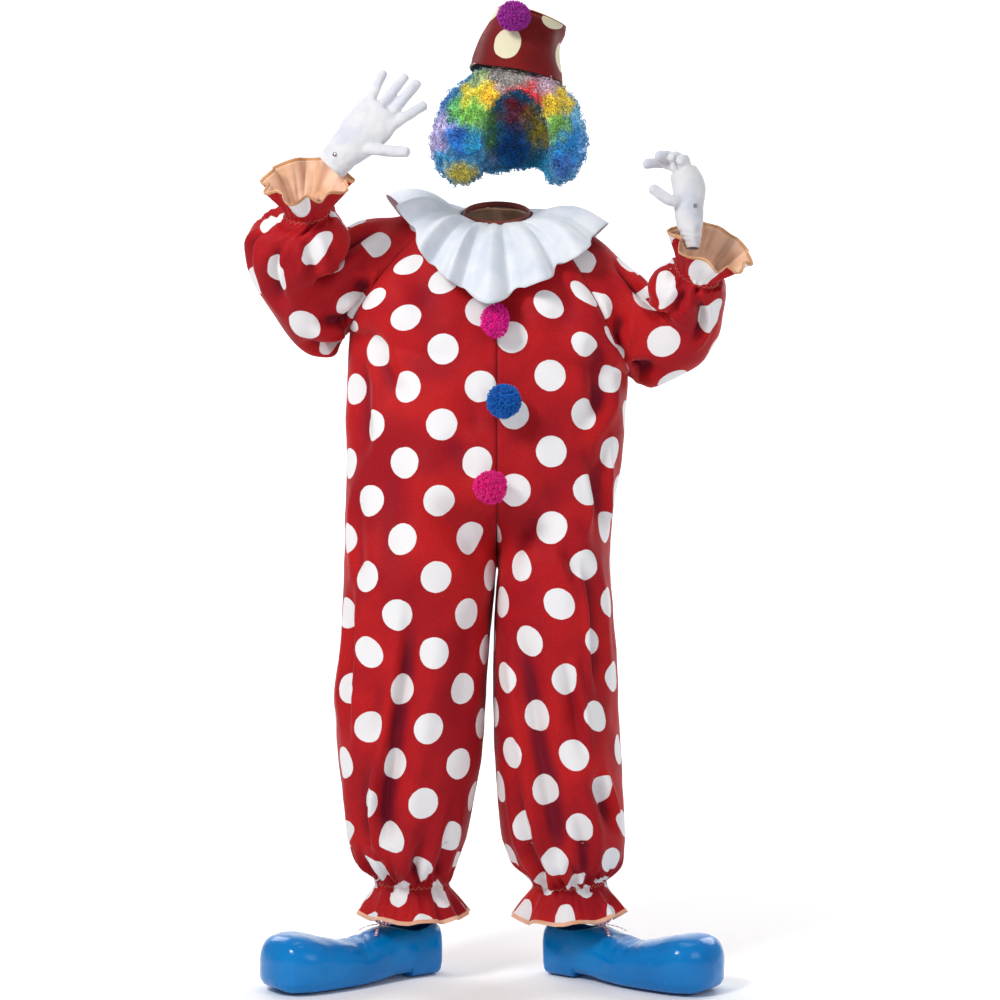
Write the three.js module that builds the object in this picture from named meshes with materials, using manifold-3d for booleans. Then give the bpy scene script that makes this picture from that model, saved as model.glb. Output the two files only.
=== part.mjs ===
// A worn clown costume: a polka-dot jumpsuit with a ruff and pom-poms, a hat, a curly wig,
// a pair of gloves and a pair of big shoes, hollow and in the pose of a standing wearer.
// Millimetres, +Z up, +X to the wearer's left, the wearer faces -Y.
// The origin is between the shoulders, at the base of the neck.
import * as THREE from "three";
import { mergeVertices } from "three/addons/utils/BufferGeometryUtils.js";
import Module from "manifold-3d";

const wasm = await Module();
wasm.setup();

// Driving dimensions
const clothWall = 1.6;
const bindingWall = 2.2;
const bindingWidth = 6;
const seamGap = 0.3;
const floorHeight = -1530;
const panelColumns = 8;
const yokeRows = 8;
const neckHalfWidth = 68;
const neckHalfDepth = 62;
const neckFrontHeight = -30;
const neckBackHeight = 25;
const seamAngleFront = (60 * Math.PI) / 180;
const seamAngleBack = (118 * Math.PI) / 180;
const torsoFullness = 0.84;
const legFullness = 0.9;
const forkBlend = 170;

const pointOf = (x, y, z) => new THREE.Vector3(x, y, z);
const mixed = (a, b, t) => a.clone().lerp(b, t);
const blendStep = (t) => {
  const s = Math.min(Math.max(t, 0), 1);
  return s * s * (3 - 2 * s);
};

// A smooth value from a table with named columns, ordered by one of them.
function tableValue(table, orderKey, valueKey, at) {
  const rows = [...table].sort((a, b) => a[orderKey] - b[orderKey]);
  const last = rows.length - 1;
  if (at <= rows[0][orderKey]) return rows[0][valueKey];
  if (at >= rows[last][orderKey]) return rows[last][valueKey];
  const next = rows.findIndex((row) => row[orderKey] > at);
  const slope = (i) => {
    const a = rows[Math.max(i - 1, 0)];
    const b = rows[Math.min(i + 1, last)];
    return (b[valueKey] - a[valueKey]) / (b[orderKey] - a[orderKey]);
  };
  const low = rows[next - 1];
  const high = rows[next];
  const span = high[orderKey] - low[orderKey];
  const t = (at - low[orderKey]) / span;
  const t2 = t * t;
  const t3 = t2 * t;
  return (2 * t3 - 3 * t2 + 1) * low[valueKey] + (t3 - 2 * t2 + t) * span * slope(next - 1)
    + (3 * t2 - 2 * t3) * high[valueKey] + (t3 - t2) * span * slope(next);
}

// ---------------------------------------------------------------- solids from grids and rings

const meshes = [];

function addMesh(name, geometry, finish) {
  const mesh = new THREE.Mesh(geometry, finish);
  mesh.name = name;
  meshes.push(mesh);
  return mesh;
}

// A closed solid from points and triangles, turned so that its faces point out.
function solid(points, triangles) {
  const volume = triangles.reduce((sum, [a, b, c]) => {
    const cross = points[b].clone().cross(points[c]);
    return sum + points[a].dot(cross);
  }, 0);
  const geometry = new THREE.BufferGeometry();
  const flat = points.flatMap((p) => [p.x, p.y, p.z]);
  geometry.setAttribute("position", new THREE.Float32BufferAttribute(flat, 3));
  geometry.setIndex(triangles.flatMap(([a, b, c]) => (volume < 0 ? [a, c, b] : [a, b, c])));
  return geometry;
}

const pointKey = (p) => `${p.x.toFixed(2)},${p.y.toFixed(2)},${p.z.toFixed(2)}`;

// Outward normals for a family of sheets; sheets that share seam points share their normals.
function sharedNormals(sheets) {
  const sums = new Map();
  for (const sheet of sheets) {
    const { grid, closed, facing } = sheet;
    const columns = grid[0].length;
    const cells = closed ? columns : columns - 1;
    for (let r = 0; r + 1 < grid.length; r += 1) {
      for (let c = 0; c < cells; c += 1) {
        const d = (c + 1) % columns;
        const corners = [grid[r][c], grid[r][d], grid[r + 1][d], grid[r + 1][c]];
        const across = corners[2].clone().sub(corners[0]);
        const normal = across.cross(corners[1].clone().sub(corners[3])).multiplyScalar(-facing);
        for (const corner of corners) {
          const key = pointKey(corner);
          const sum = sums.get(key) ?? pointOf(0, 0, 0);
          sums.set(key, sum.add(normal));
        }
      }
    }
  }
  return (p) => sums.get(pointKey(p)).clone().normalize();
}

// A cloth wall: the grid is its outer face, and its seam edges draw back by half the seam gap.
function wall(sheet, normalOf, thickness = clothWall, lift = 0) {
  const { grid, closed } = sheet;
  const rows = grid.length;
  const columns = grid[0].length;
  const at = (r, c) => (closed ? grid[r][(c + columns) % columns] : grid[r][c]);
  const outer = [];
  const inner = [];
  const drawBack = (moved, from, to, seamStart, seamEnd) => {
    const step = to.clone().sub(from);
    const seam = seamEnd.clone().sub(seamStart).normalize();
    moved.addScaledVector(step.addScaledVector(seam, -step.dot(seam)).normalize(), seamGap / 2);
  };
  for (let r = 0; r < rows; r += 1) {
    for (let c = 0; c < columns; c += 1) {
      const p = at(r, c);
      const normal = normalOf(p);
      const moved = p.clone();
      const above = at(Math.max(r - 1, 0), c);
      const below = at(Math.min(r + 1, rows - 1), c);
      const before = closed || c > 0 ? at(r, c - 1) : p;
      const after = closed || c < columns - 1 ? at(r, c + 1) : p;
      if (r === 0) drawBack(moved, p, below, before, after);
      if (r === rows - 1) drawBack(moved, p, above, before, after);
      if (!closed && c === 0) drawBack(moved, p, after, above, below);
      if (!closed && c === columns - 1) drawBack(moved, p, before, above, below);
      outer.push(moved.clone().addScaledVector(normal, lift));
      inner.push(moved.clone().addScaledVector(normal, lift - thickness));
    }
  }
  const points = [...outer, ...inner];
  const under = rows * columns;
  const triangles = [];
  const quad = (a, b, c, d) => triangles.push([a, b, c], [a, c, d]);
  const cells = closed ? columns : columns - 1;
  const index = (r, c) => r * columns + ((c + columns) % columns);
  for (let c = 0; c < cells; c += 1) {
    for (let r = 0; r + 1 < rows; r += 1) {
      quad(index(r, c), index(r, c + 1), index(r + 1, c + 1), index(r + 1, c));
      quad(under + index(r, c), under + index(r + 1, c), under + index(r + 1, c + 1),
        under + index(r, c + 1));
    }
    const end = rows - 1;
    quad(index(0, c + 1), index(0, c), under + index(0, c), under + index(0, c + 1));
    quad(index(end, c), index(end, c + 1), under + index(end, c + 1), under + index(end, c));
  }
  if (!closed) {
    const edge = columns - 1;
    for (let r = 0; r + 1 < rows; r += 1) {
      quad(index(r, 0), index(r + 1, 0), under + index(r + 1, 0), under + index(r, 0));
      quad(index(r + 1, edge), index(r, edge), under + index(r, edge), under + index(r + 1, edge));
    }
  }
  return solid(points, triangles);
}

// A closed body through rings of equal point counts, with a fan over each end.
function loft(rings) {
  const columns = rings[0].length;
  const points = rings.flat();
  const triangles = [];
  for (let r = 0; r + 1 < rings.length; r += 1) {
    for (let c = 0; c < columns; c += 1) {
      const d = (c + 1) % columns;
      const a = r * columns;
      const b = a + columns;
      triangles.push([a + c, a + d, b + d], [a + c, b + d, b + c]);
    }
  }
  const centre = (ring) => ring.reduce((sum, p) => sum.add(p), pointOf(0, 0, 0))
    .divideScalar(columns);
  const start = points.push(centre(rings[0])) - 1;
  const end = points.push(centre(rings.at(-1))) - 1;
  const lastRing = (rings.length - 1) * columns;
  for (let c = 0; c < columns; c += 1) {
    const d = (c + 1) % columns;
    triangles.push([start, d, c], [end, lastRing + c, lastRing + d]);
  }
  return solid(points, triangles);
}

function toManifold(geometry) {
  const bare = geometry.clone();
  bare.deleteAttribute("normal");
  bare.deleteAttribute("uv");
  const merged = mergeVertices(bare, 1e-4);
  const vertProperties = new Float32Array(merged.attributes.position.array);
  const triVerts = new Uint32Array(merged.index.array);
  return new wasm.Manifold(new wasm.Mesh({ numProp: 3, vertProperties, triVerts }));
}

function fromManifold(body) {
  const { vertProperties, triVerts } = body.getMesh();
  const geometry = new THREE.BufferGeometry();
  geometry.setAttribute("position", new THREE.BufferAttribute(vertProperties, 3));
  geometry.setIndex(new THREE.BufferAttribute(triVerts, 1));
  return geometry;
}

function joined(geometries) {
  return geometries.map(toManifold).reduce((sum, body) => sum.add(body));
}

// ---------------------------------------------------------------- finishes

const finishOf = (color, roughness) => new THREE.MeshStandardMaterial({
  color, roughness, metalness: 0, side: THREE.DoubleSide,
});
const dottedCloth = finishOf(0xb01824, 0.7);
const bindingCloth = finishOf(0xf0b9a0, 0.6);
const ruffCloth = finishOf(0xd8e2ec, 0.7);
const neckCloth = finishOf(0x7a2c20, 0.7);
const magentaWool = finishOf(0xd80f90, 0.9);
const blueWool = finishOf(0x0a5cb4, 0.9);
const pinkWool = finishOf(0xeb1482, 0.9);
const purpleWool = finishOf(0xa52aa0, 0.9);
const wigFibre = finishOf(0x4aa0c0, 0.95);
const gloveKnit = finishOf(0xe6e6ea, 0.8);
const shoeVinyl = finishOf(0x0074be, 0.25);
const laceRibbon = finishOf(0xe08ab0, 0.6);

// ---------------------------------------------------------------- body and legs

// The jumpsuit's outline at each height: side seams seen from the front, and front and back
// seen from the side.
const bodyOutline = [
  { height: -230, right: -294, left: 262, front: -150, back: 152 },
  { height: -322, right: -296, left: 262, front: -164, back: 166 },
  { height: -490, right: -300, left: 248, front: -172, back: 174 },
  { height: -610, right: -302, left: 230, front: -172, back: 178 },
  { height: -710, right: -307, left: 227, front: -166, back: 176 },
  { height: -850, right: -312, left: 236, front: -152, back: 166 },
  { height: -970, right: -325, left: 242, front: -142, back: 156 },
  { height: -1090, right: -318, left: 250, front: -134, back: 150 },
  { height: -1170, right: -307, left: 254, front: -124, back: 148 },
  { height: -1250, right: -297, left: 257, front: -104, back: 146 },
  { height: -1290, right: -282, left: 252, front: -84, back: 140 },
  { height: -1318, right: -262, left: 234, front: -58, back: 126 },
];
// The inner leg seams from the fork down.
const innerSeams = [
  { height: -710, right: -3, left: 2 },
  { height: -780, right: -9, left: -4 },
  { height: -890, right: -17, left: -8 },
  { height: -970, right: -23, left: -8 },
  { height: -1090, right: -32, left: -3 },
  { height: -1170, right: -46, left: 2 },
  { height: -1250, right: -62, left: 10 },
  { height: -1290, right: -76, left: 24 },
  { height: -1318, right: -90, left: 50 },
];
const forkHeight = -710;
const sides = {
  right: { sign: -1, underarm: -232, cuff: { x: -172, y: 38, z: -1336, tilt: 3 } },
  left: { sign: 1, underarm: -322, cuff: { x: 146, y: 38, z: -1338, tilt: 6 } },
};
const underarmCentreHeight = -300;
// Row heights below the underarm row: body, then leg down to the gathers.
const rowHeights = [-365, -440, -520, -590, -645, -680, -710, -790, -890, -990, -1090, -1180,
  -1250, -1295, -1318];
// The elastic casing and the frill below it: radii about the ankle, drop, and gather depth.
const ankleRows = [
  { drop: 0, halfWidth: 75, halfDepth: 71, gather: 2 },
  { drop: 12, halfWidth: 75, halfDepth: 71, gather: 2 },
  { drop: 38, halfWidth: 92, halfDepth: 88, gather: 6 },
  { drop: 62, halfWidth: 106, halfDepth: 102, gather: 10 },
];
const gatherAbove = [{ height: -1250, gather: 1.5 }, { height: -1295, gather: 4 },
  { height: -1318, gather: 5 }];

// Large soft folds pressed into the panels, from one height and width place to another.
// place 0 is the centre or inner seam and 1 is the side seam.
const largeFolds = [
  { panel: "front_right", fromHeight: -760, fromPlace: 0.52, toHeight: -1230, toPlace: 0.45,
    width: 0.13, depth: 16 },
  { panel: "front_left", fromHeight: -770, fromPlace: 0.1, toHeight: -1230, toPlace: 0.5,
    width: 0.13, depth: 15 },
  { panel: "front_left", fromHeight: -1110, fromPlace: 0.72, toHeight: -1270, toPlace: 0.98,
    width: 0.13, depth: 14 },
  { panel: "back_right", fromHeight: -720, fromPlace: 0.5, toHeight: -1220, toPlace: 0.55,
    width: 0.14, depth: 15 },
  { panel: "back_left", fromHeight: -760, fromPlace: 0.45, toHeight: -1240, toPlace: 0.4,
    width: 0.14, depth: 15 },
];

function foldDepth(panel, height, place) {
  return largeFolds.filter((fold) => fold.panel === panel).reduce((sum, fold) => {
    const along = (height - fold.fromHeight) / (fold.toHeight - fold.fromHeight);
    if (along < 0 || along > 1) return sum;
    const middle = fold.fromPlace + (fold.toPlace - fold.fromPlace) * along;
    const away = (place - middle) / fold.width;
    const hold = Math.min(1, place / 0.2, (1 - place) / 0.2);
    return sum + fold.depth * hold * Math.sin(Math.PI * along) * Math.exp(-away * away);
  }, 0);
}

const outlineAt = (height, key) => tableValue(bodyOutline, "height", key, height);
const innerAt = (height, key) => tableValue(innerSeams, "height", key, height);

// One point of a panel's section: a quarter of the torso above the fork, half of a leg below it.
function panelPoint(side, face, place, height) {
  const outer = outlineAt(height, side);
  const depth = outlineAt(height, face);
  const middleY = (outlineAt(height, "front") + outlineAt(height, "back")) / 2;
  const reach = depth - middleY;
  const turn = (place * Math.PI) / 2;
  const torso = pointOf(outer * Math.sin(turn) ** torsoFullness,
    middleY + reach * Math.cos(turn) ** torsoFullness, height);
  const inner = innerAt(height, side);
  const half = (outer - inner) / 2;
  const sweep = Math.PI * place;
  const swing = Math.sign(Math.cos(sweep)) * Math.abs(Math.cos(sweep)) ** legFullness;
  const leg = pointOf(inner + half * (1 - swing),
    middleY + reach * Math.abs(Math.sin(sweep)) ** legFullness, height);
  const fork = blendStep((forkHeight + forkBlend - height) / forkBlend);
  return mixed(torso, leg, fork);
}

function anklePoint(side, face, place, row, ripple) {
  const { x, y, z, tilt } = sides[side].cuff;
  const sweep = Math.PI * place;
  const toFace = face === "front" ? -1 : 1;
  const across = -sides[side].sign * Math.cos(sweep) * (row.halfWidth + ripple);
  const lean = (tilt * Math.PI) / 180;
  return pointOf(x + across, y + toFace * Math.sin(sweep) * (row.halfDepth + ripple),
    z - row.drop - across * Math.sin(lean) * -sides[side].sign * 0.5 + toFace * 3 * Math.sin(sweep));
}

// The neck opening, by the angle from the centre front towards one side.
function neckPoint(angle, sign, spread = 0, lift = 0) {
  const height = THREE.MathUtils.lerp(neckFrontHeight, neckBackHeight, (1 - Math.cos(angle)) / 2);
  return pointOf(sign * Math.sin(angle) * (neckHalfWidth + spread),
    10 - Math.cos(angle) * (neckHalfDepth + spread), height + lift);
}

// The raglan seams, from the underarm up to the neck.
const raglanRoutes = {
  right: {
    front: [[-288, -52, -222], [-264, -98, -184], [-176, -114, -74], [-112, -82, -36]],
    back: [[-288, 52, -220], [-266, 98, -176], [-178, 112, -60], [-110, 86, -10]],
  },
  left: {
    front: [[260, -52, -312], [236, -104, -276], [196, -128, -190], [132, -98, -78]],
    back: [[258, 52, -310], [234, 100, -264], [196, 124, -172], [126, 98, -52]],
  },
};

function raglanSeam(side, face) {
  const { sign, underarm } = sides[side];
  const angle = face === "front" ? seamAngleFront : seamAngleBack;
  const middleY = (outlineAt(underarm, "front") + outlineAt(underarm, "back")) / 2;
  const points = [pointOf(outlineAt(underarm, side), middleY, underarm),
    ...raglanRoutes[side][face].map((p) => pointOf(...p)), neckPoint(angle, sign)];
  return new THREE.CatmullRomCurve3(points, false, "centripetal").getSpacedPoints(yokeRows);
}

function underarmRow(side, face) {
  const { underarm } = sides[side];
  return Array.from({ length: panelColumns + 1 }, (_, c) => {
    const place = c / panelColumns;
    const height = THREE.MathUtils.lerp(underarmCentreHeight, underarm, blendStep(place));
    return panelPoint(side, face, place, height);
  });
}

// A smooth patch between the underarm row, the centre line, the raglan seam and the neck.
function yoke(side, face) {
  const { sign } = sides[side];
  const angle = face === "front" ? seamAngleFront : seamAngleBack;
  const startAngle = face === "front" ? 0 : Math.PI;
  const bottom = underarmRow(side, face);
  const outer = raglanSeam(side, face);
  const neckCentre = neckPoint(startAngle, sign);
  const bend = face === "front" ? pointOf(0, -160, -105) : pointOf(0, 168, -40);
  const centre = new THREE.QuadraticBezierCurve3(bottom[0], bend, neckCentre);
  const rows = [];
  for (let r = yokeRows; r >= 0; r -= 1) {
    const v = r / yokeRows;
    const inner = centre.getPointAt(v);
    rows.push(bottom.map((low, c) => {
      const u = c / panelColumns;
      const high = neckPoint(THREE.MathUtils.lerp(startAngle, angle, u), sign);
      const p = low.clone().multiplyScalar(1 - v).addScaledVector(high, v);
      p.addScaledVector(inner, 1 - u).addScaledVector(outer[r], u);
      p.addScaledVector(bottom[0], -(1 - u) * (1 - v)).addScaledVector(bottom.at(-1), -u * (1 - v));
      return p.addScaledVector(neckCentre, -(1 - u) * v).addScaledVector(outer.at(-1), -u * v);
    }));
  }
  return rows;
}

function panel(side, face) {
  const name = `${face}_${side}`;
  const { sign, underarm } = sides[side];
  const toFace = face === "front" ? -1 : 1;
  const grid = yoke(side, face);
  const places = Array.from({ length: panelColumns + 1 }, (_, c) => c / panelColumns);
  const ripple = (c) => (c % 2 === 0 ? 1 : -1);
  for (const height of rowHeights) {
    const fade = Math.max(0, 1 - (underarmCentreHeight - height) / 320);
    const shift = (underarm - underarmCentreHeight) * fade * fade;
    const gather = height > gatherAbove[0].height ? 0
      : tableValue(gatherAbove, "height", "gather", height);
    grid.push(places.map((place, c) => {
      const p = panelPoint(side, face, place, height + shift * blendStep(place));
      p.y -= toFace * foldDepth(name, height, place);
      const out = p.clone().sub(pointOf(sides[side].cuff.x, sides[side].cuff.y, height)).setZ(0);
      return p.addScaledVector(out.normalize(), gather * ripple(c));
    }));
  }
  for (const row of ankleRows) {
    grid.push(places.map((place, c) => anklePoint(side, face, place, row, row.gather * ripple(c))));
  }
  return { name, grid, closed: false, facing: sign * toFace };
}

// ---------------------------------------------------------------- sleeves

// Each ring of a sleeve: its point on the bend's inside, its point on the bend's outside,
// its half depth, and how far it leans to the front in degrees.
const sleeveRings = {
  right: [
    { inside: [-205, 4, -2], outside: [-308, -8, -250], depth: 112, lean: 0 },
    { inside: [-286, -8, -20], outside: [-334, -20, -282], depth: 106, lean: 0 },
    { inside: [-314, -34, -68], outside: [-392, -48, -262], depth: 98, lean: 6 },
    { inside: [-322, -64, -100], outside: [-440, -84, -204], depth: 92, lean: 14 },
    { inside: [-310, -98, -102], outside: [-468, -112, -150], depth: 88, lean: 22 },
    { inside: [-292, -128, -86], outside: [-482, -138, -98], depth: 86, lean: 28 },
    { inside: [-288, -150, -58], outside: [-482, -160, -58], depth: 82, lean: 32 },
    { inside: [-306, -168, -26], outside: [-458, -176, -34], depth: 70, lean: 35 },
    { inside: [-319, -180, -10], outside: [-410, -186, -26], depth: 46, lean: 38 },
    { inside: [-317, -186, 0], outside: [-408, -192, -16], depth: 46, lean: 38 },
    { inside: [-300, -200, 22], outside: [-422, -208, 8], depth: 62, lean: 38 },
    { inside: [-282, -214, 44], outside: [-440, -222, 32], depth: 78, lean: 38 },
  ],
  left: [
    { inside: [206, 4, -50], outside: [280, -6, -338], depth: 114, lean: 0 },
    { inside: [258, -6, -98], outside: [302, -20, -340], depth: 102, lean: 0 },
    { inside: [292, -28, -136], outside: [352, -46, -330], depth: 92, lean: 6 },
    { inside: [306, -58, -162], outside: [400, -78, -300], depth: 84, lean: 14 },
    { inside: [306, -90, -172], outside: [432, -106, -250], depth: 78, lean: 22 },
    { inside: [299, -118, -162], outside: [444, -130, -204], depth: 74, lean: 28 },
    { inside: [297, -140, -146], outside: [446, -152, -174], depth: 72, lean: 32 },
    { inside: [314, -160, -124], outside: [438, -170, -160], depth: 62, lean: 35 },
    { inside: [344, -176, -116], outside: [424, -186, -158], depth: 44, lean: 38 },
    { inside: [348, -183, -106], outside: [428, -193, -148], depth: 44, lean: 38 },
    { inside: [344, -198, -80], outside: [452, -208, -134], depth: 60, lean: 38 },
    { inside: [340, -212, -54], outside: [476, -222, -122], depth: 76, lean: 38 },
  ],
};
const sleeveColumns = 2 * yokeRows + 2;
const frillStart = 9;
const frillGather = [0, 4, 9];
const pouchGather = { 7: 4, 8: 2, 9: 1.5 };

function sleeveRingPoint(ring, turn, ripple) {
  const inside = pointOf(...ring.inside);
  const outside = pointOf(...ring.outside);
  const centre = mixed(inside, outside, 0.5);
  const reach = inside.clone().sub(centre);
  const lean = (ring.lean * Math.PI) / 180;
  const along = reach.clone().normalize();
  const front = pointOf(0, -Math.cos(lean), -Math.sin(lean));
  front.addScaledVector(along, -front.dot(along)).normalize();
  return centre.addScaledVector(along, Math.cos(turn) * (reach.length() + ripple))
    .addScaledVector(front, Math.sin(turn) * (ring.depth + ripple));
}

function sleeve(side) {
  const { sign } = sides[side];
  const front = raglanSeam(side, "front").reverse();
  const back = raglanSeam(side, "back").slice(1);
  const shoulder = neckPoint((seamAngleFront + seamAngleBack) / 2, sign);
  const armhole = [shoulder, ...front, ...back];
  const turns = Array.from({ length: sleeveColumns }, (_, c) => (2 * Math.PI * c) / sleeveColumns);
  const rings = sleeveRings[side].map((ring, r) => {
    const gather = r > frillStart ? frillGather[r - frillStart] : pouchGather[r] ?? 0;
    return turns.map((turn, c) => sleeveRingPoint(ring, turn, c % 2 === 0 ? gather : -gather));
  });
  const shoulderRow = armhole.map((p, c) => mixed(p, rings[0][c], 0.5));
  const grid = [armhole, shoulderRow, ...rings];
  return { name: `sleeve_${side}`, grid, closed: true, facing: sign };
}

// ---------------------------------------------------------------- jumpsuit

const panels = ["right", "left"].flatMap((side) => [panel(side, "front"), panel(side, "back")]);
const sleeves = ["right", "left"].map(sleeve);
const jumpsuitNormals = sharedNormals([...panels, ...sleeves]);
// The two sides meet square to the centre seam.
function jumpsuitNormal(p) {
  const normal = jumpsuitNormals(p);
  return Math.abs(p.x) < 0.01 ? normal.setX(0).normalize() : normal;
}
for (const sheet of [...panels, ...sleeves]) {
  addMesh(sheet.name, wall(sheet, jumpsuitNormal), dottedCloth);
}

// Binding that carries on from a frill's edge.
function binding(name, lastRows, facing) {
  const [before, edge] = lastRows;
  const away = edge.map((p, c) => p.clone().sub(before[c]).normalize());
  const near = edge.map((p, c) => p.clone().addScaledVector(away[c], seamGap / 2));
  const far = edge.map((p, c) => p.clone().addScaledVector(away[c], bindingWidth));
  const sheet = { grid: [near, far], closed: true, facing };
  addMesh(name, wall(sheet, sharedNormals([sheet]), bindingWall, seamGap), bindingCloth);
}

for (const sheet of sleeves) {
  binding(sheet.name.replace("sleeve", "cuff_binding"), sheet.grid.slice(-2), sheet.facing);
}
for (const side of ["right", "left"]) {
  const [frontPanel, backPanel] = panels.filter((sheet) => sheet.name.endsWith(side));
  const around = [0, 1].map((k) => [
    ...frontPanel.grid.at(k - 2),
    ...backPanel.grid.at(k - 2).slice(1, -1).reverse(),
  ]);
  binding(`ankle_binding_${side}`, around, frontPanel.facing);
}

// ---------------------------------------------------------------- neck and ruff

const neckBindingRise = 9;
const neckBindingSpread = -4.6;
const ruffPleats = 13;
const ruffColumns = ruffPleats * 4;
const ruffFullness = 0.8;
// The ruff from the neck outwards: how far along it a row is, and its pleat depth.
const ruffRows = [
  { along: 0, pleat: 1.5 },
  { along: 0.35, pleat: 6 },
  { along: 0.7, pleat: 11 },
  { along: 1, pleat: 14 },
];

const fullTurn = (columns) => Array.from({ length: columns }, (_, c) => (2 * Math.PI * c) / columns);

// The ruff's outer edge, by the angle from the centre front towards the wearer's left.
function ruffEdge(angle) {
  const across = Math.sin(angle);
  const ahead = Math.cos(angle);
  const sideHeight = across < 0 ? 26 : -30;
  const endHeight = ahead > 0 ? -182 : -150;
  const full = (value) => Math.sign(value) * Math.abs(value) ** ruffFullness;
  return pointOf(full(across) * 206, ahead > 0 ? -196 * full(ahead) : -206 * full(ahead),
    THREE.MathUtils.lerp(sideHeight, endHeight, ahead * ahead));
}

function ruffPoint(angle, row) {
  const inner = neckPoint(angle, 1, 4, 7);
  const outer = ruffEdge(angle);
  const crown = mixed(inner, outer, 0.5)
    .add(pointOf(0, -14 * Math.cos(angle), 40 + 18 * Math.cos(angle) ** 2));
  const curve = new THREE.QuadraticBezierCurve3(inner, crown, outer);
  const before = curve.getPoint(Math.max(row.along - 0.05, 0));
  const after = curve.getPoint(Math.min(row.along + 0.05, 1));
  const around = ruffEdge(angle + 0.05).sub(ruffEdge(angle - 0.05));
  const normal = around.cross(after.sub(before)).normalize();
  const wave = Math.sin(angle * ruffPleats) * row.pleat;
  return curve.getPoint(row.along).addScaledVector(normal, wave);
}

const ruffSheet = {
  grid: ruffRows.map((row) => fullTurn(ruffColumns).map((angle) => ruffPoint(angle, row))),
  closed: true,
  facing: -1,
};
addMesh("ruff", wall(ruffSheet, sharedNormals([ruffSheet])), ruffCloth);

const neckSheet = {
  grid: [neckBindingRise, 0].map((lift) => fullTurn(20)
    .map((angle) => neckPoint(angle, 1, neckBindingSpread, lift + 1))),
  closed: true,
  facing: -1,
};
addMesh("neck_binding", wall(neckSheet, sharedNormals([neckSheet]), bindingWall), neckCloth);

// ---------------------------------------------------------------- pom-poms

const frontSurface = (height) => outlineAt(Math.min(height, -230), "front");

function pompom(name, place, halfWidth, halfHeight, finish) {
  const ball = new THREE.IcosahedronGeometry(1, 1);
  ball.scale(halfWidth, Math.min(halfWidth, halfHeight), halfHeight);
  ball.translate(place.x, place.y, place.z);
  addMesh(name, mergeVertices(bareGeometry(ball), 1e-4), finish);
}

function bareGeometry(geometry) {
  geometry.deleteAttribute("normal");
  geometry.deleteAttribute("uv");
  return geometry;
}

const pompomStand = 38;
const frontPompoms = [
  { name: "pompom_top", x: -4, z: -226, halfWidth: 27, halfHeight: 34, finish: magentaWool },
  { name: "pompom_middle", x: 14, z: -382, halfWidth: 34, halfHeight: 34, finish: blueWool },
  { name: "pompom_bottom", x: -13, z: -546, halfWidth: 33, halfHeight: 33, finish: pinkWool },
];
for (const row of frontPompoms) {
  const place = pointOf(row.x, frontSurface(row.z) - pompomStand, row.z);
  pompom(row.name, place, row.halfWidth, row.halfHeight, row.finish);
}

// ---------------------------------------------------------------- hat

// Rings of the hat from its brim up: the ends of its width, and its half depth.
const hatRings = [
  { right: [-52, 292], left: [131, 262], depth: 88 },
  { right: [-49, 322], left: [130, 300], depth: 87 },
  { right: [-34, 360], left: [131, 338], depth: 80 },
  { right: [-12, 394], left: [139, 362], depth: 70 },
  { right: [2, 414], left: [138, 374], depth: 62 },
];
const hatY = 6;
const hatColumns = 20;
const hatRingPoint = (ring, turn, shrink = 1) => {
  const [rightX, rightZ] = ring.right;
  const [leftX, leftZ] = ring.left;
  const across = Math.cos(turn) * shrink;
  return pointOf((rightX + leftX) / 2 + ((leftX - rightX) / 2) * across,
    hatY + ring.depth * shrink * Math.sin(turn),
    (rightZ + leftZ) / 2 + ((leftZ - rightZ) / 2) * across);
};
const hatSideSheet = {
  grid: [...hatRings].reverse().map((ring) => fullTurn(hatColumns)
    .map((turn) => hatRingPoint(ring, turn))),
  closed: true,
  facing: -1,
};
addMesh("hat_side", wall(hatSideSheet, sharedNormals([hatSideSheet])), dottedCloth);

// The soft top, a little sunk in its middle.
const hatTopRows = [{ shrink: 1, rise: 2.2 }, { shrink: 0.7, rise: 3 }, { shrink: 0.36, rise: -3 },
  { shrink: 0.04, rise: -5 }];
function hatTop() {
  const faces = [0, clothWall].map((drop) => hatTopRows.map(({ shrink, rise }) => fullTurn(hatColumns)
    .map((turn) => hatRingPoint(hatRings.at(-1), turn, shrink).add(pointOf(0, 0, rise - drop)))));
  return loft([...[...faces[0]].reverse(), ...faces[1]]);
}
addMesh("hat_top", hatTop(), dottedCloth);
const hatPompom = { x: 32, y: -101, z: 377, halfWidth: 34, halfHeight: 29 };
pompom(
  "hat_pompom",
  pointOf(hatPompom.x, hatPompom.y, hatPompom.z),
  hatPompom.halfWidth,
  hatPompom.halfHeight,
  purpleWool,
);

// ---------------------------------------------------------------- wig

function ball(centre, radii, widthSegments, heightSegments) {
  const shape = new THREE.SphereGeometry(1, widthSegments, heightSegments);
  shape.rotateX(Math.PI / 2);
  shape.scale(...radii);
  shape.translate(...centre);
  return shape;
}

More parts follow.
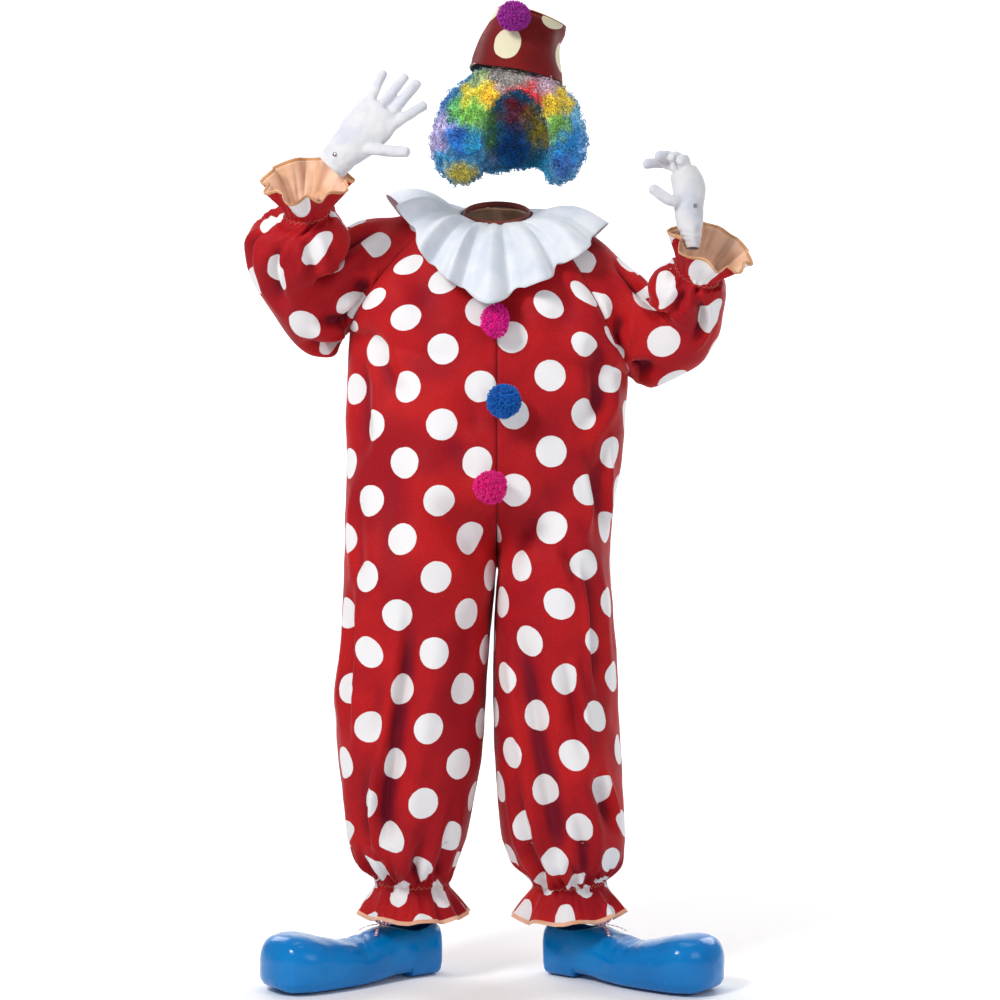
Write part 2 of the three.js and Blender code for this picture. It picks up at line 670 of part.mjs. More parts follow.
function wig() {
  const tilt = Math.atan2(-30, 183);
  const hair = joined([
    ball([26, 22, 186], [152, 122, 112], 14, 10),
    ball([-70, 20, 150], [68, 84, 90], 10, 8),
    ball([118, 20, 150], [68, 84, 90], 10, 8),
  ]);
  const head = toManifold(ball([38, 6, 150], [82, 98, 124], 12, 8));
  const face = toManifold(ball([38, -100, 130], [70, 110, 108], 12, 8));
  const neck = toManifold(ball([38, 0, 40], [84, 96, 90], 12, 8));
  const hatSpace = new THREE.CylinderGeometry(96, 98, 200, 20);
  hatSpace.rotateX(Math.PI / 2);
  hatSpace.translate(0, 0, 100 - 8);
  hatSpace.rotateY(-tilt);
  hatSpace.translate(39.5, hatY, 277);
  return fromManifold(hair.subtract(head).subtract(face).subtract(neck)
    .subtract(toManifold(hatSpace)));
}
addMesh("wig", wig(), wigFibre);

// ---------------------------------------------------------------- gloves

const gloveWall = 1.5;

// A limb of a glove through places along it, each with a half width and a half thickness.
function limb(places, sides_, inset) {
  const centres = places.map((row) => pointOf(...row.at));
  const rings = places.map((row, k) => {
    const ahead = centres[Math.min(k + 1, centres.length - 1)].clone()
      .sub(centres[Math.max(k - 1, 0)]).normalize();
    const flat = pointOf(...(row.across ?? [0, 0, 1]));
    const across = flat.addScaledVector(ahead, -flat.dot(ahead)).normalize();
    const through = ahead.clone().cross(across);
    const end = k === 0 ? -1 : 1;
    const slide = k === 0 || k === centres.length - 1 ? -inset * end : 0;
    return fullTurn(sides_).map((turn) => centres[k].clone().addScaledVector(ahead, slide)
      .addScaledVector(across, Math.cos(turn) * Math.max(row.width - inset, 1.5))
      .addScaledVector(through, Math.sin(turn) * Math.max(row.thick - inset, 1.5)));
  });
  return loft(rings);
}

function fingerPlaces(points, radius) {
  const tip = points.at(-1);
  const before = points.at(-2);
  const ahead = pointOf(...tip).sub(pointOf(...before)).normalize();
  const end = pointOf(...tip).addScaledVector(ahead, radius * 0.8).toArray();
  const across = [1, 0, -0.3];
  return [
    ...points.map((at) => ({ at, width: radius, thick: radius, across })),
    { at: end, width: radius * 0.55, thick: radius * 0.55, across },
  ];
}

const gloves = {
  right: {
    // The open hand, from the wrist opening to the knuckles.
    palm: [
      { at: [-317, -226, 62], width: 33, thick: 26, across: [0.72, 0, -0.7] },
      { at: [-296, -232, 84], width: 33, thick: 25, across: [0.72, 0, -0.7] },
      { at: [-262, -238, 118], width: 43, thick: 22, across: [0.72, 0, -0.7] },
      { at: [-232, -243, 150], width: 46, thick: 18, across: [0.72, 0, -0.7] },
      { at: [-212, -246, 172], width: 40, thick: 13, across: [0.72, 0, -0.7] },
    ],
    fingers: [
      { route: [[-246, -242, 176], [-234, -245, 198], [-216, -247, 236]], radius: 10 },
      { route: [[-226, -244, 164], [-208, -247, 188], [-176, -250, 228]], radius: 11 },
      { route: [[-212, -243, 150], [-192, -247, 170], [-152, -252, 216]], radius: 11 },
      { route: [[-204, -241, 132], [-192, -246, 142], [-140, -252, 174]], radius: 11 },
      { route: [[-262, -240, 100], [-230, -250, 92], [-172, -258, 86]], radius: 12 },
    ],
  },
  left: {
    // The curled hand, from the long cuff up to the knuckles.
    palm: [
      { at: [372, -232, -96], width: 12, thick: 26, across: [1, 0, 0.15] },
      { at: [366, -232, -40], width: 26, thick: 30, across: [1, 0, 0.15] },
      { at: [364, -234, -12], width: 28, thick: 30, across: [1, 0, 0.15] },
      { at: [364, -236, 22], width: 32, thick: 27, across: [1, 0, 0.15] },
      { at: [352, -238, 56], width: 26, thick: 25, across: [1, 0, 0.15] },
    ],
    fingers: [
      { route: [[350, -214, 58], [322, -196, 74], [286, -204, 72]], radius: 11 },
      { route: [[352, -228, 62], [334, -214, 84], [308, -222, 84]], radius: 11 },
      { route: [[354, -242, 62], [344, -236, 80], [330, -246, 78]], radius: 10.5 },
      { route: [[358, -252, 56], [354, -254, 74], [346, -262, 68]], radius: 10 },
      { route: [[352, -246, -4], [326, -256, -4], [296, -254, 16]], radius: 12 },
    ],
  },
};

function glove(side) {
  const { palm, fingers } = gloves[side];
  const parts = (inset) => [
    limb(palm, 10, inset),
    ...fingers.map(({ route, radius }) => limb(fingerPlaces(route, radius), 6, inset)),
  ];
  const [first, second] = palm;
  const start = pointOf(...first.at);
  const outward = start.clone().sub(pointOf(...second.at)).normalize();
  const beyond = { ...first, at: start.clone().addScaledVector(outward, 12).toArray() };
  const mouth = limb([beyond, first, second], 10, gloveWall);
  return fromManifold(joined(parts(0)).subtract(joined([...parts(gloveWall), mouth])));
}
for (const side of ["right", "left"]) addMesh(`glove_${side}`, glove(side), gloveKnit);

// ---------------------------------------------------------------- shoes

const shoeWall = 3;
// Sections from heel to toe: half width, height of the top and of the underside.
const shoeSections = [
  { along: 0, halfWidth: 30, top: 98, under: 8 },
  { along: 10, halfWidth: 42, top: 103, under: 0 },
  { along: 50, halfWidth: 50, top: 107, under: 0 },
  { along: 78, halfWidth: 51, top: 107, under: 0 },
  { along: 82, halfWidth: 51, top: 106, under: 9 },
  { along: 120, halfWidth: 54, top: 102, under: 8 },
  { along: 160, halfWidth: 62, top: 90, under: 3 },
  { along: 205, halfWidth: 70, top: 84, under: 0 },
  { along: 260, halfWidth: 76, top: 94, under: 0 },
  { along: 320, halfWidth: 78, top: 110, under: 0 },
  { along: 360, halfWidth: 66, top: 108, under: 3 },
  { along: 382, halfWidth: 40, top: 88, under: 14 },
  { along: 389, halfWidth: 16, top: 64, under: 30 },
];
const shoes = {
  right: { heel: [-128, 96], direction: [-0.822, -0.569] },
  left: { heel: [110, 92], direction: [0.818, -0.575] },
};
const shoeColumns = 12;

function shoeRing(row, inset) {
  const bottom = row.under + inset;
  const top = row.top - inset;
  const middle = (bottom + top) / 2;
  const half = row.halfWidth - inset;
  return fullTurn(shoeColumns).map((turn) => {
    const lift = Math.sin(turn);
    const power = lift < 0 ? 0.45 : 0.75;
    const across = Math.sign(Math.cos(turn)) * Math.abs(Math.cos(turn)) ** power;
    return pointOf(row.along, half * across,
      middle + ((top - bottom) / 2) * Math.sign(lift) * Math.abs(lift) ** power);
  });
}

function shoe() {
  const shell = toManifold(loft(shoeSections.map((row) => shoeRing(row, 0))));
  const room = shoeSections.slice(1, -1).map((row) => shoeRing(row, shoeWall));
  const mouth = new THREE.CylinderGeometry(46, 40, 90, 16);
  mouth.rotateX(Math.PI / 2);
  mouth.scale(1.15, 0.86, 1);
  mouth.translate(64, 0, 100);
  return fromManifold(shell.subtract(toManifold(loft(room))).subtract(toManifold(mouth)));
}

function placeShoePiece(mesh, side) {
  const { heel, direction } = shoes[side];
  mesh.position.set(heel[0], heel[1], floorHeight);
  mesh.rotation.z = Math.atan2(direction[1], direction[0]);
}

// The bow's two loops and knot, and its two free ends, in the shoe's own place.
const bowPlace = [128, 0, 104];
const laceWidth = 5;
const laceHeight = 2;
const loopRoute = [[0, 0, 4], [4, 16, 10], [-2, 30, 12], [-10, 24, 9], [-4, 10, 5]];
const freeEnd = [[3, 7, 2.4], [9, 10, 2], [18, 17, -0.5], [26, 26, -5], [33, 33, -11]];

function strip(route, reach, closed) {
  const points = route.map(([x, y, z]) => pointOf(x, y * reach, z));
  const path = new THREE.CatmullRomCurve3(points, closed);
  const section = new THREE.Shape(fullTurn(6).map((turn) => new THREE.Vector2(
    (laceHeight / 2) * Math.cos(turn), (laceWidth / 2) * Math.sin(turn))));
  return new THREE.ExtrudeGeometry(section, { steps: 10, extrudePath: path, bevelEnabled: false });
}

for (const side of ["right", "left"]) {
  placeShoePiece(addMesh(`shoe_${side}`, shoe(), shoeVinyl), side);
  const knot = ball([0, 0, 4], [5, 4.2, 3.6], 10, 6);
  const bow = joined([knot, strip(loopRoute, 1, true), strip(loopRoute, -1, true)]);
  const bowMesh = addMesh(`bow_${side}`, fromManifold(bow).translate(...bowPlace), laceRibbon);
  placeShoePiece(bowMesh, side);
  for (const [k, reach] of [1, -1].entries()) {
    const end = bareGeometry(strip(freeEnd, reach, false)).translate(...bowPlace);
    placeShoePiece(addMesh(`lace_end_${side}_${k + 1}`, end, laceRibbon), side);
  }
}

const costume = new THREE.Group();
costume.add(...meshes);
export default costume;
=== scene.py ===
# A worn clown costume, hollow, in its wearer's waving pose.
# Working units are millimetres; mesh_from turns them into Blender's metres.
import math

import bmesh
import bpy
import numpy as np
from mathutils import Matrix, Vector


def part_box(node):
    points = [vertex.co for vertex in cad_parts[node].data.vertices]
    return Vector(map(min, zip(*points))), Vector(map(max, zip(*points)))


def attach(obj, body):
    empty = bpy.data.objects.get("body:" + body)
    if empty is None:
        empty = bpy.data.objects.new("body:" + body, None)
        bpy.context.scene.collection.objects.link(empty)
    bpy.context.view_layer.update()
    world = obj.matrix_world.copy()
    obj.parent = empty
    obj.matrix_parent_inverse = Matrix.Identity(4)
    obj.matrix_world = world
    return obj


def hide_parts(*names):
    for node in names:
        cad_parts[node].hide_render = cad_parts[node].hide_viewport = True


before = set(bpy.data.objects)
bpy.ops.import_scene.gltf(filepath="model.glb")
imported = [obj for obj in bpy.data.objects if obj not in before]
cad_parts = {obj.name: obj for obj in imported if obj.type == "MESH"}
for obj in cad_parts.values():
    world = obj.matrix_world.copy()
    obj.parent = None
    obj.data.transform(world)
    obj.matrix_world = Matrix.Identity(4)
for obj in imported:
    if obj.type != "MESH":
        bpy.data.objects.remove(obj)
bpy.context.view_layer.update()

MM = 0.001


def table_value(table, order, value, at):
    """A smooth value from rows of named columns, ordered by one of them."""
    rows = sorted(table, key=lambda row: row[order])
    x = np.array([row[order] for row in rows], float)
    y = np.array([row[value] for row in rows], float)
    slope = np.empty_like(y)
    slope[1:-1] = (y[2:] - y[:-2]) / (x[2:] - x[:-2])
    slope[0] = (y[1] - y[0]) / (x[1] - x[0])
    slope[-1] = (y[-1] - y[-2]) / (x[-1] - x[-2])
    at = np.clip(np.asarray(at, float), x[0], x[-1])
    low = np.clip(np.searchsorted(x, at, side="right") - 1, 0, len(x) - 2)
    span = x[low + 1] - x[low]
    t = (at - x[low]) / span
    return ((2 * t**3 - 3 * t**2 + 1) * y[low] + (t**3 - 2 * t**2 + t) * span * slope[low]
            + (3 * t**2 - 2 * t**3) * y[low + 1] + (t**3 - t**2) * span * slope[low + 1])


def ease(t):
    t = np.clip(t, 0, 1)
    return t * t * (3 - 2 * t)


def mixed(a, b, t):
    return a + (b - a) * t


def unit(v):
    return v / np.maximum(np.linalg.norm(v, axis=-1, keepdims=True), 1e-9)


def through(points, steps):
    """Points on a smooth centripetal curve through the given ones, evenly spaced by length."""
    p = np.array(points, float)
    p = np.vstack([2 * p[0] - p[1], p, 2 * p[-1] - p[-2]])
    pieces = []
    for i in range(1, len(p) - 2):
        p0, p1, p2, p3 = p[i - 1:i + 3]
        k1, k2, k3 = [math.sqrt(max(np.linalg.norm(b - a), 1e-6))
                      for a, b in ((p0, p1), (p1, p2), (p2, p3))]
        m1 = ((p1 - p0) / k1 - (p2 - p0) / (k1 + k2) + (p2 - p1) / k2) * k2
        m2 = ((p2 - p1) / k2 - (p3 - p1) / (k2 + k3) + (p3 - p2) / k3) * k2
        t = np.linspace(0, 1, 40, endpoint=False)[:, None]
        pieces.append((2 * t**3 - 3 * t**2 + 1) * p1 + (t**3 - 2 * t**2 + t) * m1
                      + (3 * t**2 - 2 * t**3) * p2 + (t**3 - t**2) * m2)
    fine = np.vstack(pieces + [p[-2:-1]])
    return evenly(fine, steps)


def evenly(fine, steps):
    length = np.r_[0, np.cumsum(np.linalg.norm(np.diff(fine, axis=0), axis=1))]
    at = np.linspace(0, length[-1], steps + 1)
    return np.stack([np.interp(at, length, fine[:, k]) for k in range(3)], axis=1)


def spline_rows(rows, steps):
    """More rows between the given rows of points; steps[i] rows lead to row i + 1."""
    rows = np.array(rows, float)
    padded = np.concatenate([2 * rows[:1] - rows[1:2], rows, 2 * rows[-1:] - rows[-2:-1]])
    out = []
    for i, count in enumerate(steps):
        p0, p1, p2, p3 = padded[i:i + 4]
        for t in np.linspace(0, 1, count, endpoint=False):
            m1, m2 = (p2 - p0) / 2, (p3 - p1) / 2
            out.append((2 * t**3 - 3 * t**2 + 1) * p1 + (t**3 - 2 * t**2 + t) * m1
                       + (3 * t**2 - 2 * t**3) * p2 + (t**3 - t**2) * m2)
    out.append(rows[-1])
    return np.array(out)


def grid_normals(grid, closed, facing):
    """Outward unit normals at the points of a grid."""
    if closed:
        across = np.roll(grid, -1, axis=1) - np.roll(grid, 1, axis=1)
    else:
        across = np.gradient(grid, axis=1)
    down = np.gradient(grid, axis=0)
    return unit(np.cross(across, down)) * facing


def row_lengths(grid):
    """How far along its row each point lies."""
    steps = np.linalg.norm(np.diff(grid, axis=1), axis=2)
    return np.concatenate([np.zeros((len(grid), 1)), np.cumsum(steps, axis=1)], axis=1)


def column_lengths(grid):
    """How far down its column each point lies."""
    steps = np.linalg.norm(np.diff(grid, axis=0), axis=2)
    return np.concatenate([np.zeros((1, grid.shape[1])), np.cumsum(steps, axis=0)], axis=0)


# ------------------------------------------------------------------ meshes from grids

def mesh_from(name, points, faces, uv=None, attributes=None):
    """A mesh object at the origin from points in millimetres; uv is in millimetres too."""
    mesh = bpy.data.meshes.new(name)
    mesh.from_pydata((np.asarray(points) * MM).tolist(), [], [list(map(int, f)) for f in faces])
    if uv is not None:
        layer = mesh.uv_layers.new(name="flat")
        corners = np.array([loop.vertex_index for loop in mesh.loops])
        flat = uv[corners] if len(uv) == len(points) else uv
        layer.data.foreach_set("uv", (flat * MM).ravel())
    for key, values in (attributes or {}).items():
        layer = mesh.attributes.new(key, "FLOAT", "POINT")
        layer.data.foreach_set("value", np.asarray(values, float).ravel())
    mesh.update()
    mesh.shade_smooth()
    obj = bpy.data.objects.new(name, mesh)
    bpy.context.scene.collection.objects.link(obj)
    return obj


def grid_faces(rows, columns, closed, facing):
    r, c = np.meshgrid(np.arange(rows - 1), np.arange(columns if closed else columns - 1),
                       indexing="ij")
    d = (c + 1) % columns
    quads = np.stack([r * columns + c, r * columns + d, (r + 1) * columns + d,
                      (r + 1) * columns + c], axis=-1).reshape(-1, 4)
    return quads if facing > 0 else quads[:, ::-1]


def cloth_from(name, grid, uv, facing, closed=False, attributes=None, wall=1.4):
    """A thin cloth shell whose outer face is the grid. A closed grid repeats its first column."""
    rows, columns = grid.shape[:2]
    faces = grid_faces(rows, columns, False, facing)
    obj = mesh_from(name, grid.reshape(-1, 3), faces, uv.reshape(-1, 2),
                    {k: v.reshape(-1) for k, v in (attributes or {}).items()})
    if closed:
        weld(obj)
    thick = obj.modifiers.new("wall", "SOLIDIFY")
    thick.thickness = wall * MM
    thick.offset = -1
    thick.use_even_offset = False
    thick.material_offset = 1
    thick.material_offset_rim = 0
    return obj


def weld(obj, distance=1e-5):
    bm = bmesh.new()
    bm.from_mesh(obj.data)
    bmesh.ops.remove_doubles(bm, verts=bm.verts, dist=distance)
    bm.to_mesh(obj.data)
    bm.free()
    obj.data.update()


def apply_modifiers(obj):
    """Bakes an object's modifiers into its mesh."""
    depsgraph = bpy.context.evaluated_depsgraph_get()
    baked = bpy.data.meshes.new_from_object(obj.evaluated_get(depsgraph))
    obj.modifiers.clear()
    obj.data = baked
    return obj


def finish_piece(obj, nodes, materials):
    """Gives a piece its materials and its body, and hides the imported parts that it stands for."""
    obj.data.materials.clear()
    for material in materials:
        obj.data.materials.append(material)
    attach(obj, "root")
    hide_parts(*nodes)
    return obj


# ------------------------------------------------------------------ the jumpsuit's form

SEAM_FRONT = math.radians(60)
SEAM_BACK = math.radians(118)
NECK = {"width": 68, "depth": 62, "y": 10, "front": -30, "back": 25}
FORK_HEIGHT = -710
FORK_BLEND = 170
UNDERARM_CENTRE = -300

# Side seams seen from the front; front and back seen from the side.
BODY_OUTLINE = [
    {"height": -230, "right": -294, "left": 262, "front": -150, "back": 152},
    {"height": -322, "right": -296, "left": 262, "front": -164, "back": 166},
    {"height": -490, "right": -300, "left": 248, "front": -172, "back": 174},
    {"height": -610, "right": -302, "left": 230, "front": -172, "back": 178},
    {"height": -710, "right": -307, "left": 227, "front": -166, "back": 176},
    {"height": -850, "right": -312, "left": 236, "front": -152, "back": 166},
    {"height": -970, "right": -325, "left": 242, "front": -142, "back": 156},
    {"height": -1090, "right": -318, "left": 250, "front": -134, "back": 150},
    {"height": -1170, "right": -307, "left": 254, "front": -124, "back": 148},
    {"height": -1250, "right": -297, "left": 257, "front": -104, "back": 146},
    {"height": -1290, "right": -282, "left": 252, "front": -84, "back": 140},
    {"height": -1318, "right": -262, "left": 234, "front": -58, "back": 126},
]
INNER_SEAMS = [
    {"height": -710, "right": -3, "left": 2},
    {"height": -780, "right": -9, "left": -4},
    {"height": -890, "right": -17, "left": -8},
    {"height": -970, "right": -23, "left": -8},
    {"height": -1090, "right": -32, "left": -3},
    {"height": -1170, "right": -46, "left": 2},
    {"height": -1250, "right": -62, "left": 10},
    {"height": -1290, "right": -76, "left": 24},
    {"height": -1318, "right": -90, "left": 50},
]
SIDES = {
    "right": {"sign": -1, "underarm": -232, "ankle": (-172, 38, -1336), "tilt": 3},
    "left": {"sign": 1, "underarm": -322, "ankle": (146, 38, -1338), "tilt": 6},
}
ANKLE_ROWS = [
    {"drop": 0, "width": 75, "depth": 71},
    {"drop": 12, "width": 75, "depth": 71},
    {"drop": 38, "width": 92, "depth": 88},
    {"drop": 62, "width": 106, "depth": 102},
]
RAGLAN = {
    ("right", "front"): [(-288, -52, -222), (-264, -98, -184), (-176, -114, -74), (-112, -82, -36)],
    ("right", "back"): [(-288, 52, -220), (-266, 98, -176), (-178, 112, -60), (-110, 86, -10)],
    ("left", "front"): [(260, -52, -312), (236, -104, -276), (196, -128, -190), (132, -98, -78)],
    ("left", "back"): [(258, 52, -310), (234, 100, -264), (196, 124, -172), (126, 98, -52)],
}
CENTRE_BEND = {"front": (0, -160, -105), "back": (0, 168, -40)}

PANEL_COLUMNS = 84
YOKE_ROWS = 46
ROW_STEP = 6.5


def outline(height, key):
    return table_value(BODY_OUTLINE, "height", key, height)


def neck_point(angle, sign, spread=0, lift=0):
    """The neck opening, by the angle from the centre front towards one side."""
    angle = np.asarray(angle, float)
    height = mixed(NECK["front"], NECK["back"], (1 - np.cos(angle)) / 2)
    return np.stack([sign * np.sin(angle) * (NECK["width"] + spread),
                     NECK["y"] - np.cos(angle) * (NECK["depth"] + spread), height + lift], axis=-1)


def panel_points(side, face, place, height):
    """A panel's section: a quarter of the torso above the fork, half of a leg below it."""
    outer, depth = outline(height, side), outline(height, face)
    middle = (outline(height, "front") + outline(height, "back")) / 2
    reach = depth - middle
    turn = place * math.pi / 2
    torso = np.stack([outer * np.sin(turn) ** 0.84,
                      middle + reach * np.abs(np.cos(turn)) ** 0.84, height], axis=-1)
    inner = table_value(INNER_SEAMS, "height", side, height)
    sweep = place * math.pi
    swing = np.sign(np.cos(sweep)) * np.abs(np.cos(sweep)) ** 0.9
    leg = np.stack([inner + (outer - inner) / 2 * (1 - swing),
                    middle + reach * np.abs(np.sin(sweep)) ** 0.9, height], axis=-1)
    fork = ease((FORK_HEIGHT + FORK_BLEND - height) / FORK_BLEND)
    return mixed(torso, leg, fork[..., None])


def ankle_points(side, face, place, row):
    x, y, z = SIDES[side]["ankle"]
    lean = math.sin(math.radians(SIDES[side]["tilt"])) * SIDES[side]["sign"] * 0.5
    to_face = -1 if face == "front" else 1
    across = -SIDES[side]["sign"] * np.cos(place * math.pi) * row["width"]
    through_ = to_face * np.sin(place * math.pi)
    return np.stack([x + across, y + through_ * row["depth"],
                     z - row["drop"] + across * lean + 3 * through_], axis=-1)


def raglan_seam(side, face):
    """The seam from the underarm up to the neck."""
    underarm = SIDES[side]["underarm"]
    middle = (outline(underarm, "front") + outline(underarm, "back")) / 2
    angle = SEAM_FRONT if face == "front" else SEAM_BACK
    start = (float(outline(underarm, side)), float(middle), underarm)
    end = tuple(neck_point(angle, SIDES[side]["sign"]))
    return through([start, *RAGLAN[side, face], end], YOKE_ROWS)


def quadratic(a, b, c, steps):
    t = np.linspace(0, 1, 200)[:, None]
    return evenly((1 - t)**2 * a + 2 * t * (1 - t) * b + t**2 * c, steps)


def yoke(side, face, places, bottom):
    """A smooth patch between the underarm row, the centre line, the raglan seam and the neck."""
    sign = SIDES[side]["sign"]
    start = 0 if face == "front" else math.pi
    angle = SEAM_FRONT if face == "front" else SEAM_BACK
    outer = raglan_seam(side, face)
    top = neck_point(mixed(start, angle, places), sign)
    centre = quadratic(bottom[0], np.array(CENTRE_BEND[face], float), top[0], YOKE_ROWS)
    v = np.linspace(0, 1, YOKE_ROWS + 1)[:, None, None]
    u = places[None, :, None]
    patch = ((1 - v) * bottom[None] + v * top[None] + (1 - u) * centre[:, None] + u * outer[:, None]
             - (1 - u) * (1 - v) * bottom[0] - u * (1 - v) * bottom[-1]
             - (1 - u) * v * top[0] - u * v * top[-1])
    return patch[::-1]


def panel_form(side, face):
    """A panel before its folds, rows from the neck down to the ankle frill's hem."""
    places = np.linspace(0, 1, PANEL_COLUMNS + 1)
    underarm = SIDES[side]["underarm"]
    bottom = panel_points(side, face, places, mixed(UNDERARM_CENTRE, underarm, ease(places)))
    rows = list(yoke(side, face, places, bottom))
    for height in np.arange(UNDERARM_CENTRE - ROW_STEP, -1250, -ROW_STEP):
        fade = max(0, 1 - (UNDERARM_CENTRE - height) / 320)
        shift = (underarm - UNDERARM_CENTRE) * fade**2 * ease(places)
        rows.append(panel_points(side, face, places, height + shift))
    low = [panel_points(side, face, places, np.full(places.shape, h)) for h in (-1250, -1295, -1318)]
    low += [ankle_points(side, face, places, row) for row in ANKLE_ROWS]
    return np.concatenate([rows, spline_rows(low, [9, 6, 5, 5, 9, 9])])


# Each ring of a sleeve: its points on the bend's inside and outside, its half depth, and its
# lean to the front in degrees.
SLEEVE_RINGS = {
    "right": [
        {"inside": (-205, 4, -2), "outside": (-308, -8, -250), "depth": 112, "lean": 0},
        {"inside": (-286, -8, -20), "outside": (-334, -20, -282), "depth": 106, "lean": 0},
        {"inside": (-314, -34, -68), "outside": (-392, -48, -262), "depth": 98, "lean": 6},
        {"inside": (-322, -64, -100), "outside": (-440, -84, -204), "depth": 92, "lean": 14},
        {"inside": (-310, -98, -102), "outside": (-468, -112, -150), "depth": 88, "lean": 22},
        {"inside": (-292, -128, -86), "outside": (-482, -138, -98), "depth": 86, "lean": 28},
        {"inside": (-288, -150, -58), "outside": (-482, -160, -58), "depth": 82, "lean": 32},
        {"inside": (-306, -168, -26), "outside": (-458, -176, -34), "depth": 70, "lean": 35},
        {"inside": (-319, -180, -10), "outside": (-410, -186, -26), "depth": 46, "lean": 38},
        {"inside": (-317, -186, 0), "outside": (-408, -192, -16), "depth": 46, "lean": 38},
        {"inside": (-300, -200, 22), "outside": (-422, -208, 8), "depth": 62, "lean": 38},
        {"inside": (-282, -214, 44), "outside": (-440, -222, 32), "depth": 78, "lean": 38},
    ],
    "left": [
        {"inside": (206, 4, -50), "outside": (280, -6, -338), "depth": 114, "lean": 0},
        {"inside": (258, -6, -98), "outside": (302, -20, -340), "depth": 102, "lean": 0},
        {"inside": (292, -28, -136), "outside": (352, -46, -330), "depth": 92, "lean": 6},
        {"inside": (306, -58, -162), "outside": (400, -78, -300), "depth": 84, "lean": 14},
        {"inside": (306, -90, -172), "outside": (432, -106, -250), "depth": 78, "lean": 22},
        {"inside": (299, -118, -162), "outside": (444, -130, -204), "depth": 74, "lean": 28},
        {"inside": (297, -140, -146), "outside": (446, -152, -174), "depth": 72, "lean": 32},
        {"inside": (314, -160, -124), "outside": (438, -170, -160), "depth": 62, "lean": 35},
        {"inside": (344, -176, -116), "outside": (424, -186, -158), "depth": 44, "lean": 38},
        {"inside": (348, -183, -106), "outside": (428, -193, -148), "depth": 44, "lean": 38},
        {"inside": (344, -198, -80), "outside": (452, -208, -134), "depth": 60, "lean": 38},
        {"inside": (340, -212, -54), "outside": (476, -222, -122), "depth": 76, "lean": 38},
    ],
}
SHOULDER_COLUMNS = 12
SLEEVE_STEPS = [14, 10, 10, 9, 8, 8, 8, 8, 10, 5, 4, 9, 9]
CASING_ROW = sum(SLEEVE_STEPS[:10])


def sleeve_form(side):
    """A sleeve before its folds, rows from the raglan seam to the cuff frill's hem.

    The first column, on the shoulder, is repeated as the last one.
    """
    sign = SIDES[side]["sign"]
    front = raglan_seam(side, "front")[::-1]
    back = raglan_seam(side, "back")[1:]
    half = SHOULDER_COLUMNS // 2
    middle = (SEAM_FRONT + SEAM_BACK) / 2
    to_front = neck_point(np.linspace(middle, SEAM_FRONT, half, endpoint=False), sign)
    from_back = neck_point(np.linspace(SEAM_BACK, middle, half + 1)[1:], sign)
    armhole = np.concatenate([to_front, front, back, from_back])
    columns = len(armhole) - 1
    turn = np.arange(columns + 1) * 2 * math.pi / columns
    rings = []
    for ring in SLEEVE_RINGS[side]:
        inside, outside = np.array(ring["inside"], float), np.array(ring["outside"], float)
        centre = (inside + outside) / 2
        reach = np.linalg.norm(inside - centre)
        along = (inside - centre) / reach
        lean = math.radians(ring["lean"])
        front_way = np.array([0, -math.cos(lean), -math.sin(lean)])
        front_way = unit(front_way - along * (front_way @ along))
        rings.append(centre + np.cos(turn)[:, None] * reach * along
                     + np.sin(turn)[:, None] * ring["depth"] * front_way)
    shoulder = mixed(armhole, rings[0], 0.5)
    shoulder[:, 2] += 5 * np.clip(np.cos(turn), 0, 1)
    return spline_rows([armhole, shoulder, *rings], SLEEVE_STEPS)


# ------------------------------------------------------------------ folds

def soft_noise(flat, size, seed):
    """A smooth random value from about -1 to 1 over flat coordinates; size is its wave length."""
    rng = np.random.default_rng(seed)
    total = np.zeros(flat.shape[:-1])
    for _ in range(8):
        angle = rng.uniform(0, math.pi)
        wave = size * rng.uniform(0.7, 1.6)
        way = np.array([math.cos(angle), math.sin(angle)])
        total += np.sin(2 * math.pi * (flat @ way) / wave + rng.uniform(0, 2 * math.pi))
    return total / 3.2


FOLD_STRENGTH = 1.4


def fold_height(flat, fold):
    """How far one fold moves the cloth: down along its line, and a little up beside it."""
    path = np.array(fold["path"], float)
    if len(path) > 2:
        path = through(np.c_[path, np.zeros(len(path))], 10)[:, :2]
    lengths = np.linalg.norm(np.diff(path, axis=0), axis=1)
    total = lengths.sum()
    nearest = np.full(flat.shape[:-1], 1e9)
    offset, along = np.zeros_like(nearest), np.zeros_like(nearest)
    start = 0
    for a, b, length in zip(path[:-1], path[1:], lengths):
        way = (b - a) / length
        rel = flat - a
        t = np.clip(rel @ way, 0, length)
        gap = rel - t[..., None] * way
        far = np.hypot(gap[..., 0], gap[..., 1])
        closer = far < nearest
        side = np.sign(rel[..., 0] * way[1] - rel[..., 1] * way[0])
        nearest = np.where(closer, far, nearest)
        offset = np.where(closer, side * far, offset)
        along = np.where(closer, (start + t) / total, along)
        start += length
    fade_in, fade_out = fold.get("fade", (0.35, 0.35))
    hold = ease(along / fade_in) if fade_in else 1
    hold = hold * (ease((1 - along) / fade_out) if fade_out else 1)
    lean = fold.get("lean", 0)
    t = offset / fold["width"]
    t = t * (1 + 0.55 * lean * np.tanh(t))
    shape = -np.exp(-t**2) + 0.32 * np.exp(-(np.abs(t) - 1.9)**2 / 0.7)
    return FOLD_STRENGTH * fold["depth"] * hold * shape


def press_folds(flat, folds):
    return sum((fold_height(flat, fold) for fold in folds), np.zeros(flat.shape[:-1]))


def seen_path(grid, flat, path, facing_you):
    """Flat coordinates of places given as (x, height), as seen from the front or the back."""
    found = []
    for x, z in path:
        away = np.hypot(grid[..., 0] - x, grid[..., 2] - z) + np.where(facing_you, 0, 1e6)
        found.append(tuple(flat.reshape(-1, 2)[np.argmin(away)]))
    return found


